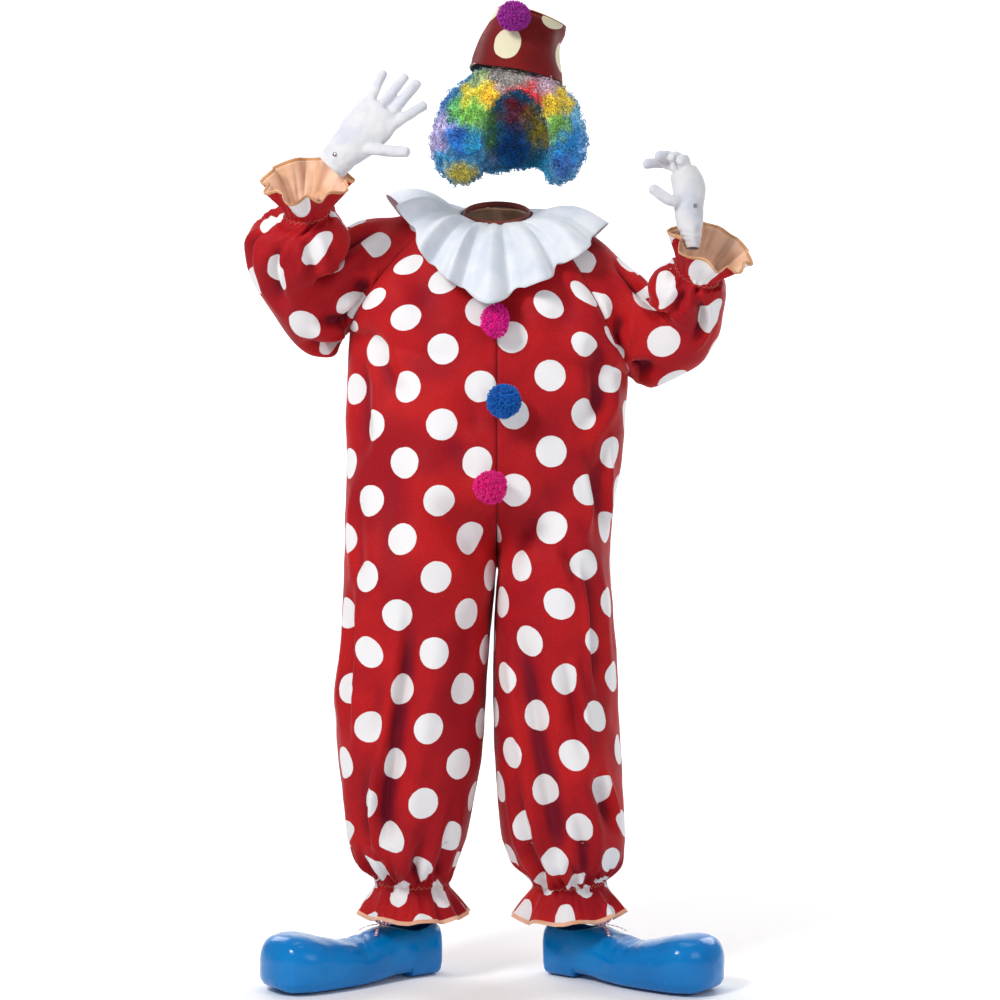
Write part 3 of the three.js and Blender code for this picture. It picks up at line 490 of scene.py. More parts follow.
def gathers(line, count, rise, width, depth, seed):
    """Uneven gathers that run up from a gathered line of flat points; rise < 0 runs down."""
    rng = np.random.default_rng(seed)
    folds = []
    for k in range(count):
        spot = (k + 0.5 + rng.uniform(-0.32, 0.32)) / count
        u = np.interp(spot, np.linspace(0, 1, len(line)), line[:, 0])
        v = np.interp(spot, np.linspace(0, 1, len(line)), line[:, 1])
        long = rise * rng.uniform(0.45, 1.25)
        drift = rng.uniform(-0.22, 0.22) * abs(long)
        folds.append({"path": [(u, v), (u + 0.35 * drift, v + 0.5 * long), (u + drift, v + long)],
                      "width": width * rng.uniform(0.75, 1.4), "depth": depth * rng.uniform(0.5, 1.25),
                      "fade": (0, 0.85), "lean": rng.uniform(-0.8, 0.8)})
    return folds


# ------------------------------------------------------------------ panels with their folds

DOT_PITCH = 147
DOT_RADIUS = 30.4
# Each panel's thread line: the flat distance u from the centre seam that the cloth keeps along a
# line of places (x, by height); and one dot's centre in flat coordinates.
PANEL_CLOTH = {
    "front_right": {
        "u": 104, "dot": (31, -204),
        "line": [{"height": -300, "x": -104}, {"height": -556, "x": -110}, {"height": -709, "x": -116},
                 {"height": -859, "x": -124}, {"height": -1003, "x": -133}, {"height": -1250, "x": -149}],
    },
    "front_left": {
        "u": 29, "dot": (29, -256),
        "line": [{"height": -300, "x": 29}, {"height": -549, "x": 34}, {"height": -695, "x": 44},
                 {"height": -841, "x": 59}, {"height": -989, "x": 77}, {"height": -1125, "x": 100},
                 {"height": -1250, "x": 120}],
    },
    "back_right": {
        "u": 100, "dot": (45, -230),
        "line": [{"height": -300, "x": -98}, {"height": -700, "x": -112}, {"height": -1000, "x": -140},
                 {"height": -1250, "x": -158}],
    },
    "back_left": {
        "u": 100, "dot": (45, -300),
        "line": [{"height": -300, "x": 98}, {"height": -700, "x": 104}, {"height": -1000, "x": 118},
                 {"height": -1250, "x": 134}],
    },
}
# Folds as seen from the front, or from behind on a back: a line of (x, height), with the width
# and depth of its trough; lean makes one flank steeper.
PANEL_FOLDS = {
    "front_right": [
        {"path": [(-165, -730), (-172, -860), (-186, -960), (-206, -1080), (-224, -1170), (-206, -1290)],
         "width": 17, "depth": 20, "fade": (0.4, 0.2), "lean": -0.7},
        {"path": [(-285, -700), (-287, -900), (-290, -1080)], "width": 13, "depth": 12,
         "fade": (0.4, 0.4), "lean": 0.5},
        {"path": [(-236, -1020), (-262, -1150), (-240, -1290)], "width": 18, "depth": 12,
         "fade": (0.5, 0.3), "lean": 0.6},
        {"path": [(-128, -1180), (-150, -1240), (-165, -1310)], "width": 14, "depth": 11,
         "fade": (0.6, 0)},
        {"path": [(-74, -1130), (-92, -1220), (-120, -1310)], "width": 13, "depth": 9, "fade": (0.6, 0)},
        {"path": [(-225, -880), (-236, -1000), (-246, -1080)], "width": 26, "depth": 8},
        {"path": [(-258, -230), (-215, -330), (-160, -400)], "width": 26, "depth": 10, "lean": 0.5},
        {"path": [(-280, -250), (-262, -380), (-258, -520)], "width": 24, "depth": 12, "lean": 0.6},
        {"path": [(-75, -350), (-48, -400), (-34, -452)], "width": 20, "depth": 6, "lean": 0.6},
        {"path": [(-100, -430), (-66, -500), (-40, -560)], "width": 24, "depth": 7, "lean": 0.5},
        {"path": [(-190, -430), (-215, -600), (-205, -760)], "width": 34, "depth": 8},
        {"path": [(-262, -520), (-275, -640), (-270, -760)], "width": 20, "depth": 9, "lean": -0.5},
        {"path": [(-120, -560), (-60, -640), (-20, -700)], "width": 26, "depth": 7},
        {"path": [(-40, -760), (-62, -900), (-80, -1050)], "width": 26, "depth": 6},
        {"path": [(-176, -90), (-140, -180), (-120, -260)], "width": 26, "depth": 6},
    ],
    "front_left": [
        {"path": [(26, -765), (52, -900), (72, -1040), (108, -1190), (128, -1300)], "width": 24,
         "depth": 17, "fade": (0.35, 0.2), "lean": 0.7},
        {"path": [(124, -850), (142, -930), (158, -1000), (172, -1100)], "width": 13, "depth": 15,
         "fade": (0.3, 0.5), "lean": -0.7},
        {"path": [(168, -660), (186, -760), (196, -870), (200, -980)], "width": 14, "depth": 14,
         "fade": (0.3, 0.4), "lean": 0.6},
        {"path": [(186, -1085), (214, -1160), (238, -1235)], "width": 15, "depth": 20,
         "fade": (0.35, 0.4), "lean": -0.8},
        {"path": [(150, -1120), (168, -1220), (170, -1310)], "width": 15, "depth": 12, "fade": (0.5, 0)},
        {"path": [(26, -1080), (48, -1200), (90, -1310)], "width": 14, "depth": 12, "fade": (0.5, 0)},
        {"path": [(118, -645), (144, -690), (160, -740)], "width": 15, "depth": 10, "lean": 0.6},
        {"path": [(172, -460), (196, -560), (190, -660)], "width": 16, "depth": 11, "lean": 0.6},
        {"path": [(215, -420), (208, -540), (214, -650)], "width": 13, "depth": 9, "lean": -0.5},
        {"path": [(228, -330), (190, -400), (140, -440)], "width": 24, "depth": 9, "lean": -0.5},
        {"path": [(205, -250), (196, -330), (214, -420)], "width": 20, "depth": 9},
        {"path": [(60, -360), (46, -430), (40, -500)], "width": 22, "depth": 5},
        {"path": [(100, -480), (112, -600), (90, -700)], "width": 28, "depth": 7},
        {"path": [(96, -560), (50, -640), (16, -700)], "width": 24, "depth": 8},
        {"path": [(150, -150), (128, -230), (96, -290)], "width": 24, "depth": 6},
    ],
    "back_right": [
        {"path": [(-60, -160), (-70, -330), (-50, -520)], "width": 34, "depth": 12, "lean": 0.5},
        {"path": [(-262, -230), (-200, -330), (-130, -400)], "width": 28, "depth": 12, "lean": 0.4},
        {"path": [(-275, -260), (-240, -420), (-225, -600)], "width": 28, "depth": 14, "lean": 0.6},
        {"path": [(-150, -420), (-165, -600), (-150, -780)], "width": 34, "depth": 11},
        {"path": [(-120, -600), (-60, -690), (-15, -740)], "width": 28, "depth": 12},
        {"path": [(-230, -660), (-160, -720), (-60, -760)], "width": 30, "depth": 11},
        {"path": [(-90, -760), (-110, -960), (-130, -1180), (-150, -1310)], "width": 24, "depth": 17,
         "fade": (0.3, 0.1), "lean": 0.6},
        {"path": [(-210, -800), (-215, -1000), (-200, -1200)], "width": 26, "depth": 15, "lean": -0.6},
        {"path": [(-270, -850), (-268, -1030), (-240, -1250)], "width": 22, "depth": 12},
        {"path": [(-170, -1100), (-190, -1220), (-180, -1315)], "width": 15, "depth": 11, "fade": (0.6, 0)},
    ],
    "back_left": [
        {"path": [(70, -170), (58, -330), (76, -480)], "width": 34, "depth": 11, "lean": 0.5},
        {"path": [(236, -320), (180, -400), (120, -440)], "width": 26, "depth": 12, "lean": 0.4},
        {"path": [(240, -340), (212, -480), (200, -620)], "width": 26, "depth": 13, "lean": -0.6},
        {"path": [(130, -430), (120, -600), (140, -780)], "width": 32, "depth": 11},
        {"path": [(110, -610), (60, -690), (15, -735)], "width": 28, "depth": 12},
        {"path": [(190, -680), (130, -730), (50, -760)], "width": 30, "depth": 10},
        {"path": [(70, -780), (92, -960), (110, -1160), (140, -1310)], "width": 24, "depth": 16,
         "fade": (0.3, 0.1), "lean": -0.6},
        {"path": [(170, -790), (176, -1000), (190, -1190)], "width": 26, "depth": 15, "lean": 0.6},
        {"path": [(225, -900), (226, -1060), (200, -1250)], "width": 20, "depth": 11},
        {"path": [(150, -1090), (160, -1210), (150, -1315)], "width": 15, "depth": 11, "fade": (0.6, 0)},
    ],
}
HEM_ROW = -19
CASING_ROW_UP = -24


def first_flat(grid, cloth):
    """Flat coordinates of a panel's points: u from the centre seam, v the height."""
    along = row_lengths(grid)
    down = column_lengths(grid)
    heights = grid[..., 2]
    frozen = int(np.argmin(np.abs(heights[YOKE_ROWS:, 0] + 1250))) + YOKE_ROWS
    u = along.copy()
    for r in range(YOKE_ROWS, frozen + 1):
        z = heights[r].mean()
        weight = float(ease((-330 - z) / 120))
        x = float(table_value(cloth["line"], "height", "x", z))
        at_line = np.interp(abs(x), np.abs(grid[r, :, 0]), along[r])
        u[r] += weight * (cloth["u"] - at_line)
    u[frozen + 1:] = u[frozen]
    v = heights.copy()
    v[:YOKE_ROWS] = v[YOKE_ROWS] + down[YOKE_ROWS] - down[:YOKE_ROWS]
    v[frozen + 1:] = v[frozen] - (down[frozen + 1:] - down[frozen])
    return np.stack([u, v], axis=-1)


def frill_waves(grid, normals, start, waves, size, seed):
    """A frill's waves, growing from its gathered row to its hem, uneven in width and depth."""
    rng = np.random.default_rng(seed)
    spots = np.cumsum(rng.uniform(0.6, 1.4, waves))
    spots = np.r_[0, spots / spots[-1]]
    sizes = rng.uniform(0.55, 1.25, waves + 1)
    sizes[-1] = sizes[0]
    place = np.linspace(0, 1, grid.shape[1])
    turn = np.interp(place, spots, np.arange(waves + 1)) * 2 * math.pi
    wave = np.sin(turn) * np.interp(place, spots, sizes)
    rise = np.zeros(len(grid))
    rise[start:] = np.linspace(0, 1, -start) ** 1.2
    fine_spots = np.sort(rng.uniform(0, 1, 5 * waves))
    fine = np.interp(place, np.r_[0, fine_spots, 1], np.arange(5 * waves + 2)) * math.pi
    fold = np.zeros(len(grid))
    fold[start:] = np.sin(np.linspace(0.15, 0.8, -start) * math.pi) * 2.6
    waved = rise[:, None] * wave[None] * size + fold[:, None] * np.sin(fine)[None]
    return normals * waved[..., None]


def grown_flat(flat, grid, before):
    """Lets the flat width grow where folds take up cloth, from the middle of each row."""
    steps = np.linalg.norm(np.diff(grid, axis=1), axis=2)
    plain = np.linalg.norm(np.diff(before, axis=1), axis=2)
    extra = np.concatenate([np.zeros((len(grid), 1)), np.cumsum(steps - plain, axis=1)], axis=1)
    third = grid.shape[1] // 3
    grown = flat.copy()
    grown[..., 0] += extra - extra[:, third:third + 1]
    return grown


def folded_panel(side, face):
    """A panel's folded grid, its flat coordinates and each point's distance to a seam."""
    name = f"{face}_{side}"
    sign = SIDES[side]["sign"]
    to_face = -1 if face == "front" else 1
    before = panel_form(side, face)
    cloth = PANEL_CLOTH[name]
    flat = first_flat(before, cloth)
    normals = grid_normals(before, False, sign * to_face)
    seen = normals[..., 1] * to_face > 0.05
    folds = [{**fold, "path": seen_path(before, flat, fold["path"], seen)}
             for fold in PANEL_FOLDS[name]]
    seed = 10 * list(PANEL_FOLDS).index(name)
    line = flat[CASING_ROW_UP]
    depth = press_folds(flat, folds + gathers(line, 19, 105, 7, 9, seed))
    depth += 2.2 * soft_noise(flat, 210, seed + 1) + 0.8 * soft_noise(flat, 75, seed + 2)
    in_casing = np.arange(len(before)) >= len(before) + CASING_ROW_UP
    depth[in_casing] *= 0.15
    from_edge = np.minimum(row_lengths(before),
                           row_lengths(before[:, ::-1])[:, ::-1])
    depth *= 0.25 + 0.75 * ease(from_edge / 26)
    grid = before + normals * depth[..., None]
    casing = np.zeros(len(before))
    casing[CASING_ROW_UP:HEM_ROW + 1] = 1.3
    grid += normals * (casing[:, None] * np.sin(flat[..., 0] / 2.1))[..., None]
    grid += frill_waves(before, normals, HEM_ROW, 5, 9, seed + 3)
    # hollow is the depth of the fold troughs, which the cloth material uses to paint shade into the folds.
    return {"grid": grid, "flat": grown_flat(flat, grid, before) - cloth["dot"],
            "facing": sign * to_face, "from_edge": from_edge, "hollow": -depth}


def pull_together(first, first_edge, second, second_edge, reach=9):
    """Moves two edges to their common middle, with the cloth near each edge going along."""
    a, b = first["grid"], second["grid"]
    middle = (a[first_edge] + b[second_edge]) / 2
    for grid, (rows, columns) in ((a, first_edge), (b, second_edge)):
        change = middle - grid[rows, columns]
        if isinstance(columns, int):
            step = 1 if columns == 0 else -1
            for k in range(reach):
                grid[rows, columns + step * k] += change * ease(1 - k / reach)
        else:
            for k in range(reach):
                grid[rows + k, columns] += change * ease(1 - k / reach)


# ------------------------------------------------------------------ sleeves with their folds

# A sleeve's grain, in degrees, and one dot's centre in its flat coordinates.
SLEEVE_CLOTH = {
    "right": {"grain": -20, "dot": (21, 91)},
    "left": {"grain": -28, "dot": (42, 140)},
}
# Folds of a sleeve: places by the part of a turn from the shoulder over the front, and the row.
SLEEVE_FOLDS = {
    "right": [
        {"path": [(0.40, 2), (0.33, 14), (0.24, 30)], "width": 15, "depth": 12, "lean": 0.6},
        {"path": [(0.44, 6), (0.40, 22), (0.33, 40)], "width": 15, "depth": 14, "lean": -0.6},
        {"path": [(0.50, 8), (0.48, 26), (0.44, 44)], "width": 16, "depth": 12},
        {"path": [(0.10, 24), (0.16, 38), (0.27, 48)], "width": 15, "depth": 13, "lean": 0.7},
        {"path": [(0.02, 34), (0.10, 44), (0.24, 52)], "width": 12, "depth": 13, "lean": -0.6},
        {"path": [(0.98, 40), (0.07, 54), (0.20, 58)], "width": 12, "depth": 11, "lean": 0.5},
        {"path": [(0.36, 50), (0.34, 66), (0.30, 84)], "width": 14, "depth": 12, "lean": 0.6},
        {"path": [(0.22, 58), (0.20, 70), (0.22, 86)], "width": 11, "depth": 9, "lean": -0.5},
        {"path": [(0.46, 56), (0.44, 70), (0.42, 86)], "width": 13, "depth": 10},
        {"path": [(0.62, 10), (0.68, 26), (0.74, 44)], "width": 16, "depth": 12, "lean": 0.5},
        {"path": [(0.80, 6), (0.84, 24), (0.90, 42)], "width": 18, "depth": 10, "lean": -0.5},
        {"path": [(0.72, 50), (0.70, 66), (0.70, 86)], "width": 14, "depth": 11},
        {"path": [(0.92, 44), (0.84, 52), (0.74, 56)], "width": 13, "depth": 10},
    ],
    "left": [
        {"path": [(0.40, 2), (0.34, 14), (0.24, 28)], "width": 15, "depth": 12, "lean": -0.6},
        {"path": [(0.46, 6), (0.42, 20), (0.36, 38)], "width": 15, "depth": 13, "lean": 0.6},
        {"path": [(0.12, 26), (0.18, 40), (0.28, 50)], "width": 14, "depth": 13, "lean": 0.6},
        {"path": [(0.04, 36), (0.12, 46), (0.25, 54)], "width": 12, "depth": 13, "lean": -0.6},
        {"path": [(0.99, 44), (0.08, 55), (0.22, 60)], "width": 12, "depth": 10, "lean": 0.4},
        {"path": [(0.36, 52), (0.34, 68), (0.32, 84)], "width": 13, "depth": 12, "lean": -0.5},
        {"path": [(0.20, 60), (0.21, 72), (0.24, 86)], "width": 11, "depth": 9},
        {"path": [(0.62, 10), (0.68, 26), (0.74, 44)], "width": 16, "depth": 12, "lean": 0.5},
        {"path": [(0.80, 6), (0.84, 24), (0.90, 42)], "width": 18, "depth": 10, "lean": -0.5},
        {"path": [(0.72, 50), (0.70, 66), (0.70, 86)], "width": 14, "depth": 11},
        {"path": [(0.90, 46), (0.82, 53), (0.74, 57)], "width": 13, "depth": 10},
    ],
}
CUFF_ROW = CASING_ROW + 4


def folded_sleeve(side):
    """A sleeve's folded grid, its flat coordinates and each point's distance to a seam."""
    sign = SIDES[side]["sign"]
    before = sleeve_form(side)
    rows, columns = before.shape[:2]
    down = column_lengths(before)
    around = row_lengths(before)
    middle = columns // 4
    base = 30
    u = around - around[:, middle:middle + 1]
    v = down[base:base + 1] - down
    flat = np.stack([u, v], axis=-1)
    centre_line = before[:, middle][:, [0, 2]]
    ahead = unit((before[:, middle + 4] - before[:, middle - 4])[:, [0, 2]])
    normals = grid_normals(before[:, :-1], True, sign)
    normals = np.concatenate([normals, normals[:, :1]], axis=1)
    seed = 50 if side == "right" else 60
    depth = np.zeros(flat.shape[:-1])
    for fold in SLEEVE_FOLDS[side]:
        places = np.array(fold["path"])
        turns = places[:, 0] - np.round(places[:, 0] - places[-1, 0])
        cells = [(int(round(t * (columns - 1))), int(r)) for t, r in zip(turns, places[:, 1])]
        for wrap in (-1, 0, 1):
            path = []
            for c, r in cells:
                c += wrap * (columns - 1)
                turned = c % (columns - 1)
                whole = (c - turned) // (columns - 1)
                path.append((u[r, turned] + whole * around[r, -1], v[r, turned]))
            depth += fold_height(flat, {**fold, "path": path})
    line = flat[CASING_ROW]
    gathered = gathers(line, 26, 55, 6, 5, seed)
    depth += press_folds(flat, gathered)
    wave = before.reshape(-1, 3)[:, [0, 2]].reshape(rows, columns, 2)
    depth += 2 * soft_noise(wave, 170, seed + 1) + 0.7 * soft_noise(wave, 60, seed + 2)
    depth[CASING_ROW:] *= 0.15
    depth *= 1.25 * (0.25 + 0.75 * ease(down / 26))
    seam_blend = ease(np.minimum(np.arange(columns), columns - 1 - np.arange(columns)) / 6)
    average = (depth[:, :1] + depth[:, -1:]) / 2
    depth = mixed(average, depth, seam_blend[None])
    grid = before + normals * depth[..., None]
    casing = np.zeros(rows)
    casing[CASING_ROW:CUFF_ROW + 1] = 1.2
    turns = np.arange(columns) * 2 * math.pi * 26 / (columns - 1)
    grid += normals * (casing[:, None] * np.sin(turns)[None])[..., None]
    grid += frill_waves(before, normals, CUFF_ROW + 1 - rows, 9, 10, seed + 3)
    along = grown_flat(flat, grid, before)[..., :1]
    cloth = SLEEVE_CLOTH[side]
    grain = math.radians(cloth["grain"])
    turned = np.array([[math.cos(grain), -math.sin(grain)], [math.sin(grain), math.cos(grain)]])
    printed = (centre_line[:, None] + along * ahead[:, None]) @ turned - cloth["dot"]
    # hollow is the depth of the fold troughs, which the cloth material uses to paint shade into the folds.
    return {"grid": grid, "flat": printed, "facing": sign,
            "from_edge": np.minimum(down, 400), "hollow": -depth}


def jumpsuit():
    """All panels and sleeves, folded and joined at their seams."""
    sheets = {f"{face}_{side}": folded_panel(side, face) for side in SIDES
              for face in ("front", "back")}
    sheets.update({f"sleeve_{side}": folded_sleeve(side) for side in SIDES})
    rows = len(sheets["front_right"]["grid"])
    heights = sheets["front_right"]["grid"][:, 0, 2]
    fork = int(np.argmin(np.abs(heights - FORK_HEIGHT)))
    upper, lower, below = np.arange(fork), np.arange(fork, rows), np.arange(YOKE_ROWS, rows)
    yoke_rows = np.arange(YOKE_ROWS + 1)
    for face in ("front", "back"):
        pull_together(sheets[f"{face}_right"], (upper, 0), sheets[f"{face}_left"], (upper, 0))
    half = SHOULDER_COLUMNS // 2
    for side in SIDES:
        front, back = sheets[f"front_{side}"], sheets[f"back_{side}"]
        sleeve = sheets[f"sleeve_{side}"]
        pull_together(front, (lower, 0), back, (lower, 0))
        pull_together(front, (below, -1), back, (below, -1))
        top = np.zeros(YOKE_ROWS + 1, int)
        pull_together(front, (yoke_rows, -1), sleeve, (top, half + yoke_rows))
        pull_together(back, (yoke_rows, -1), sleeve, (top, half + 2 * YOKE_ROWS - yoke_rows))
    return sheets


# ------------------------------------------------------------------ shader groups

def node_of(tree, kind, **inputs):
    node = tree.nodes.new(kind)
    for key, value in inputs.items():
        target = node.inputs[key.replace("_", " ")]
        if isinstance(value, bpy.types.NodeSocket):
            tree.links.new(value, target)
        else:
            target.default_value = value
    return node


def math_node(tree, operation, *values, clamp=False):
    node = tree.nodes.new("ShaderNodeMath")
    node.operation = operation
    node.use_clamp = clamp
    for socket, value in zip(node.inputs, values):
        if isinstance(value, bpy.types.NodeSocket):
            tree.links.new(value, socket)
        else:
            socket.default_value = value
    return node.outputs[0]


def vector_node(tree, operation, *values):
    node = tree.nodes.new("ShaderNodeVectorMath")
    node.operation = operation
    vectors = [socket for socket in node.inputs if socket.type == "VECTOR"]
    for socket, value in zip(vectors, values):
        if isinstance(value, bpy.types.NodeSocket):
            tree.links.new(value, socket)
        else:
            socket.default_value = value
    return node


def smooth_range(tree, value, low, high, to_low=0.0, to_high=1.0):
    node = tree.nodes.new("ShaderNodeMapRange")
    node.interpolation_type = "SMOOTHSTEP"
    for socket, number in zip(node.inputs, (value, low, high, to_low, to_high)):
        if isinstance(number, bpy.types.NodeSocket):
            tree.links.new(number, socket)
        else:
            socket.default_value = number
    return node.outputs[0]


def mix_colour(tree, factor, first, second, blend="MIX"):
    node = tree.nodes.new("ShaderNodeMix")
    node.data_type = "RGBA"
    node.blend_type = blend
    for key, value in ((0, factor), (6, first), (7, second)):
        if isinstance(value, bpy.types.NodeSocket):
            tree.links.new(value, node.inputs[key])
        else:
            node.inputs[key].default_value = value
    return node.outputs[2]


def shader_group(name, inputs, outputs, build):
    """A node group with named inputs and outputs, filled in by build(tree, inputs, outputs)."""
    tree = bpy.data.node_groups.new(name, "ShaderNodeTree")
    for key, (kind, value) in inputs.items():
        socket = tree.interface.new_socket(key, in_out="INPUT", socket_type=kind)
        if value is not None:
            socket.default_value = value
    for key, kind in outputs.items():
        tree.interface.new_socket(key, in_out="OUTPUT", socket_type=kind)
    entry = tree.nodes.new("NodeGroupInput")
    leave = tree.nodes.new("NodeGroupOutput")
    for key, socket in build(tree, entry.outputs).items():
        tree.links.new(socket, leave.inputs[key])
    return tree


def use_group(tree, group, **inputs):
    node = tree.nodes.new("ShaderNodeGroup")
    node.node_tree = group
    for key, value in inputs.items():
        target = node.inputs[key.replace("_", " ")]
        if isinstance(value, bpy.types.NodeSocket):
            tree.links.new(value, target)
        else:
            target.default_value = value
    return node.outputs


def build_dots(tree, given):
    """Round dots on a centred square lattice."""
    place = vector_node(tree, "DIVIDE", given["Vector"], (1, 1, 1))
    pitch = node_of(tree, "ShaderNodeCombineXYZ", X=given["Pitch"], Y=given["Pitch"], Z=1.0)
    tree.links.new(pitch.outputs[0], place.inputs[1])
    nearest = []
    for shift in (0.0, 0.5):
        moved = vector_node(tree, "ADD", place.outputs[0], (shift, shift, 0))
        cell = vector_node(tree, "ADD", moved.outputs[0], (0.5, 0.5, 0))
        floor = vector_node(tree, "FLOOR", cell.outputs[0])
        rest = vector_node(tree, "SUBTRACT", moved.outputs[0], floor.outputs[0])
        flat = vector_node(tree, "MULTIPLY", rest.outputs[0], (1, 1, 0))
        nearest.append(vector_node(tree, "LENGTH", flat.outputs[0]).outputs["Value"])
    gap = math_node(tree, "MULTIPLY", math_node(tree, "MINIMUM", *nearest), given["Pitch"])
    noise = node_of(tree, "ShaderNodeTexNoise", Vector=given["Vector"], Scale=90.0, Detail=2.0)
    ragged = math_node(tree, "MULTIPLY", math_node(tree, "SUBTRACT", noise.outputs[0], 0.5), 0.0022)
    edge = math_node(tree, "SUBTRACT", math_node(tree, "ADD", gap, ragged), given["Radius"])
    return {"Mask": smooth_range(tree, edge, -0.0004, 0.0004, 1.0, 0.0)}


def build_weave(tree, given):
    """A plain weave's height, with slubs, from flat coordinates in metres."""
    scaled = vector_node(tree, "SCALE", given["Vector"])
    tree.links.new(given["Threads per metre"], scaled.inputs["Scale"])
    parts = node_of(tree, "ShaderNodeSeparateXYZ", Vector=scaled.outputs[0])
    warp = math_node(tree, "SINE", math_node(tree, "MULTIPLY", parts.outputs[0], math.tau))
    weft = math_node(tree, "SINE", math_node(tree, "MULTIPLY", parts.outputs[1], math.tau))
    cross = math_node(tree, "MULTIPLY", warp, weft)
    height = math_node(tree, "ADD", math_node(tree, "MULTIPLY", cross, 0.5), 0.5)
    slub_place = vector_node(tree, "MULTIPLY", given["Vector"], (60, 900, 60))
    slub = node_of(tree, "ShaderNodeTexNoise", Vector=slub_place.outputs[0], Scale=1.0, Detail=2.0)
    other_place = vector_node(tree, "MULTIPLY", given["Vector"], (900, 60, 60))
    other = node_of(tree, "ShaderNodeTexNoise", Vector=other_place.outputs[0], Scale=1.0, Detail=2.0)
    slubs = math_node(tree, "ADD", slub.outputs[0], other.outputs[0])
    return {"Height": math_node(tree, "ADD", math_node(tree, "MULTIPLY", height, 0.4),
                                math_node(tree, "MULTIPLY", slubs, 0.6)),
            "Slubs": math_node(tree, "MULTIPLY", slubs, 0.5)}


def build_seam(tree, given):
    """A seam's dark line and the puckers beside it, from the distance to the edge."""
    line = smooth_range(tree, given["Distance"], 0.4, 2.4, 1.0, 0.0)
    near = smooth_range(tree, given["Distance"], 1.0, 14.0, 1.0, 0.0)
    noise = node_of(tree, "ShaderNodeTexNoise", Vector=given["Vector"], Scale=130.0, Detail=2.0)
    pucker = math_node(tree, "MULTIPLY", near, noise.outputs[0])
    groove = math_node(tree, "MULTIPLY", line, -1.2)
    return {"Line": line, "Height": math_node(tree, "ADD", groove, pucker)}


VECTOR = ("NodeSocketVector", None)
DOTS = shader_group("dots", {"Vector": VECTOR, "Pitch": ("NodeSocketFloat", 0.1),
                             "Radius": ("NodeSocketFloat", 0.02)},
                    {"Mask": "NodeSocketFloat"}, build_dots)
WEAVE = shader_group("weave", {"Vector": VECTOR, "Threads per metre": ("NodeSocketFloat", 900.0)},
                     {"Height": "NodeSocketFloat", "Slubs": "NodeSocketFloat"}, build_weave)
SEAM = shader_group("seam", {"Vector": VECTOR, "Distance": ("NodeSocketFloat", 100.0)},
                    {"Line": "NodeSocketFloat", "Height": "NodeSocketFloat"}, build_seam)


def new_material(name, roughness, **constants):
    """A material with a Principled BSDF, whose constant sockets are set directly."""
    material = bpy.data.materials.new(name)
    material.use_nodes = True
    tree = material.node_tree
    shader = tree.nodes["Principled BSDF"]
    shader.inputs["Roughness"].default_value = roughness
    for key, value in constants.items():
        shader.inputs[key.replace("_", " ")].default_value = value
    return material, tree, shader


def bump_to(tree, shader, height, distance, strength=1.0):
    bump = node_of(tree, "ShaderNodeBump", Height=height, Distance=distance, Strength=strength)
    tree.links.new(bump.outputs[0], shader.inputs["Normal"])


# ------------------------------------------------------------------ cloth materials

RED = (0.47, 0.0085, 0.010, 1)
RED_DEEP = (0.31, 0.0035, 0.010, 1)
# Painted shade: the dark maroon that the cloth is shaded towards in the deep troughs of its folds.
RED_FOLD_SHADE = (0.085, 0.002, 0.016, 1)
DOT_WHITE = (0.80, 0.80, 0.82, 1)
DOT_CREAM = (0.72, 0.68, 0.48, 1)
HAT_RED = (0.22, 0.008, 0.008, 1)
PEACH = (0.90, 0.60, 0.45, 1)


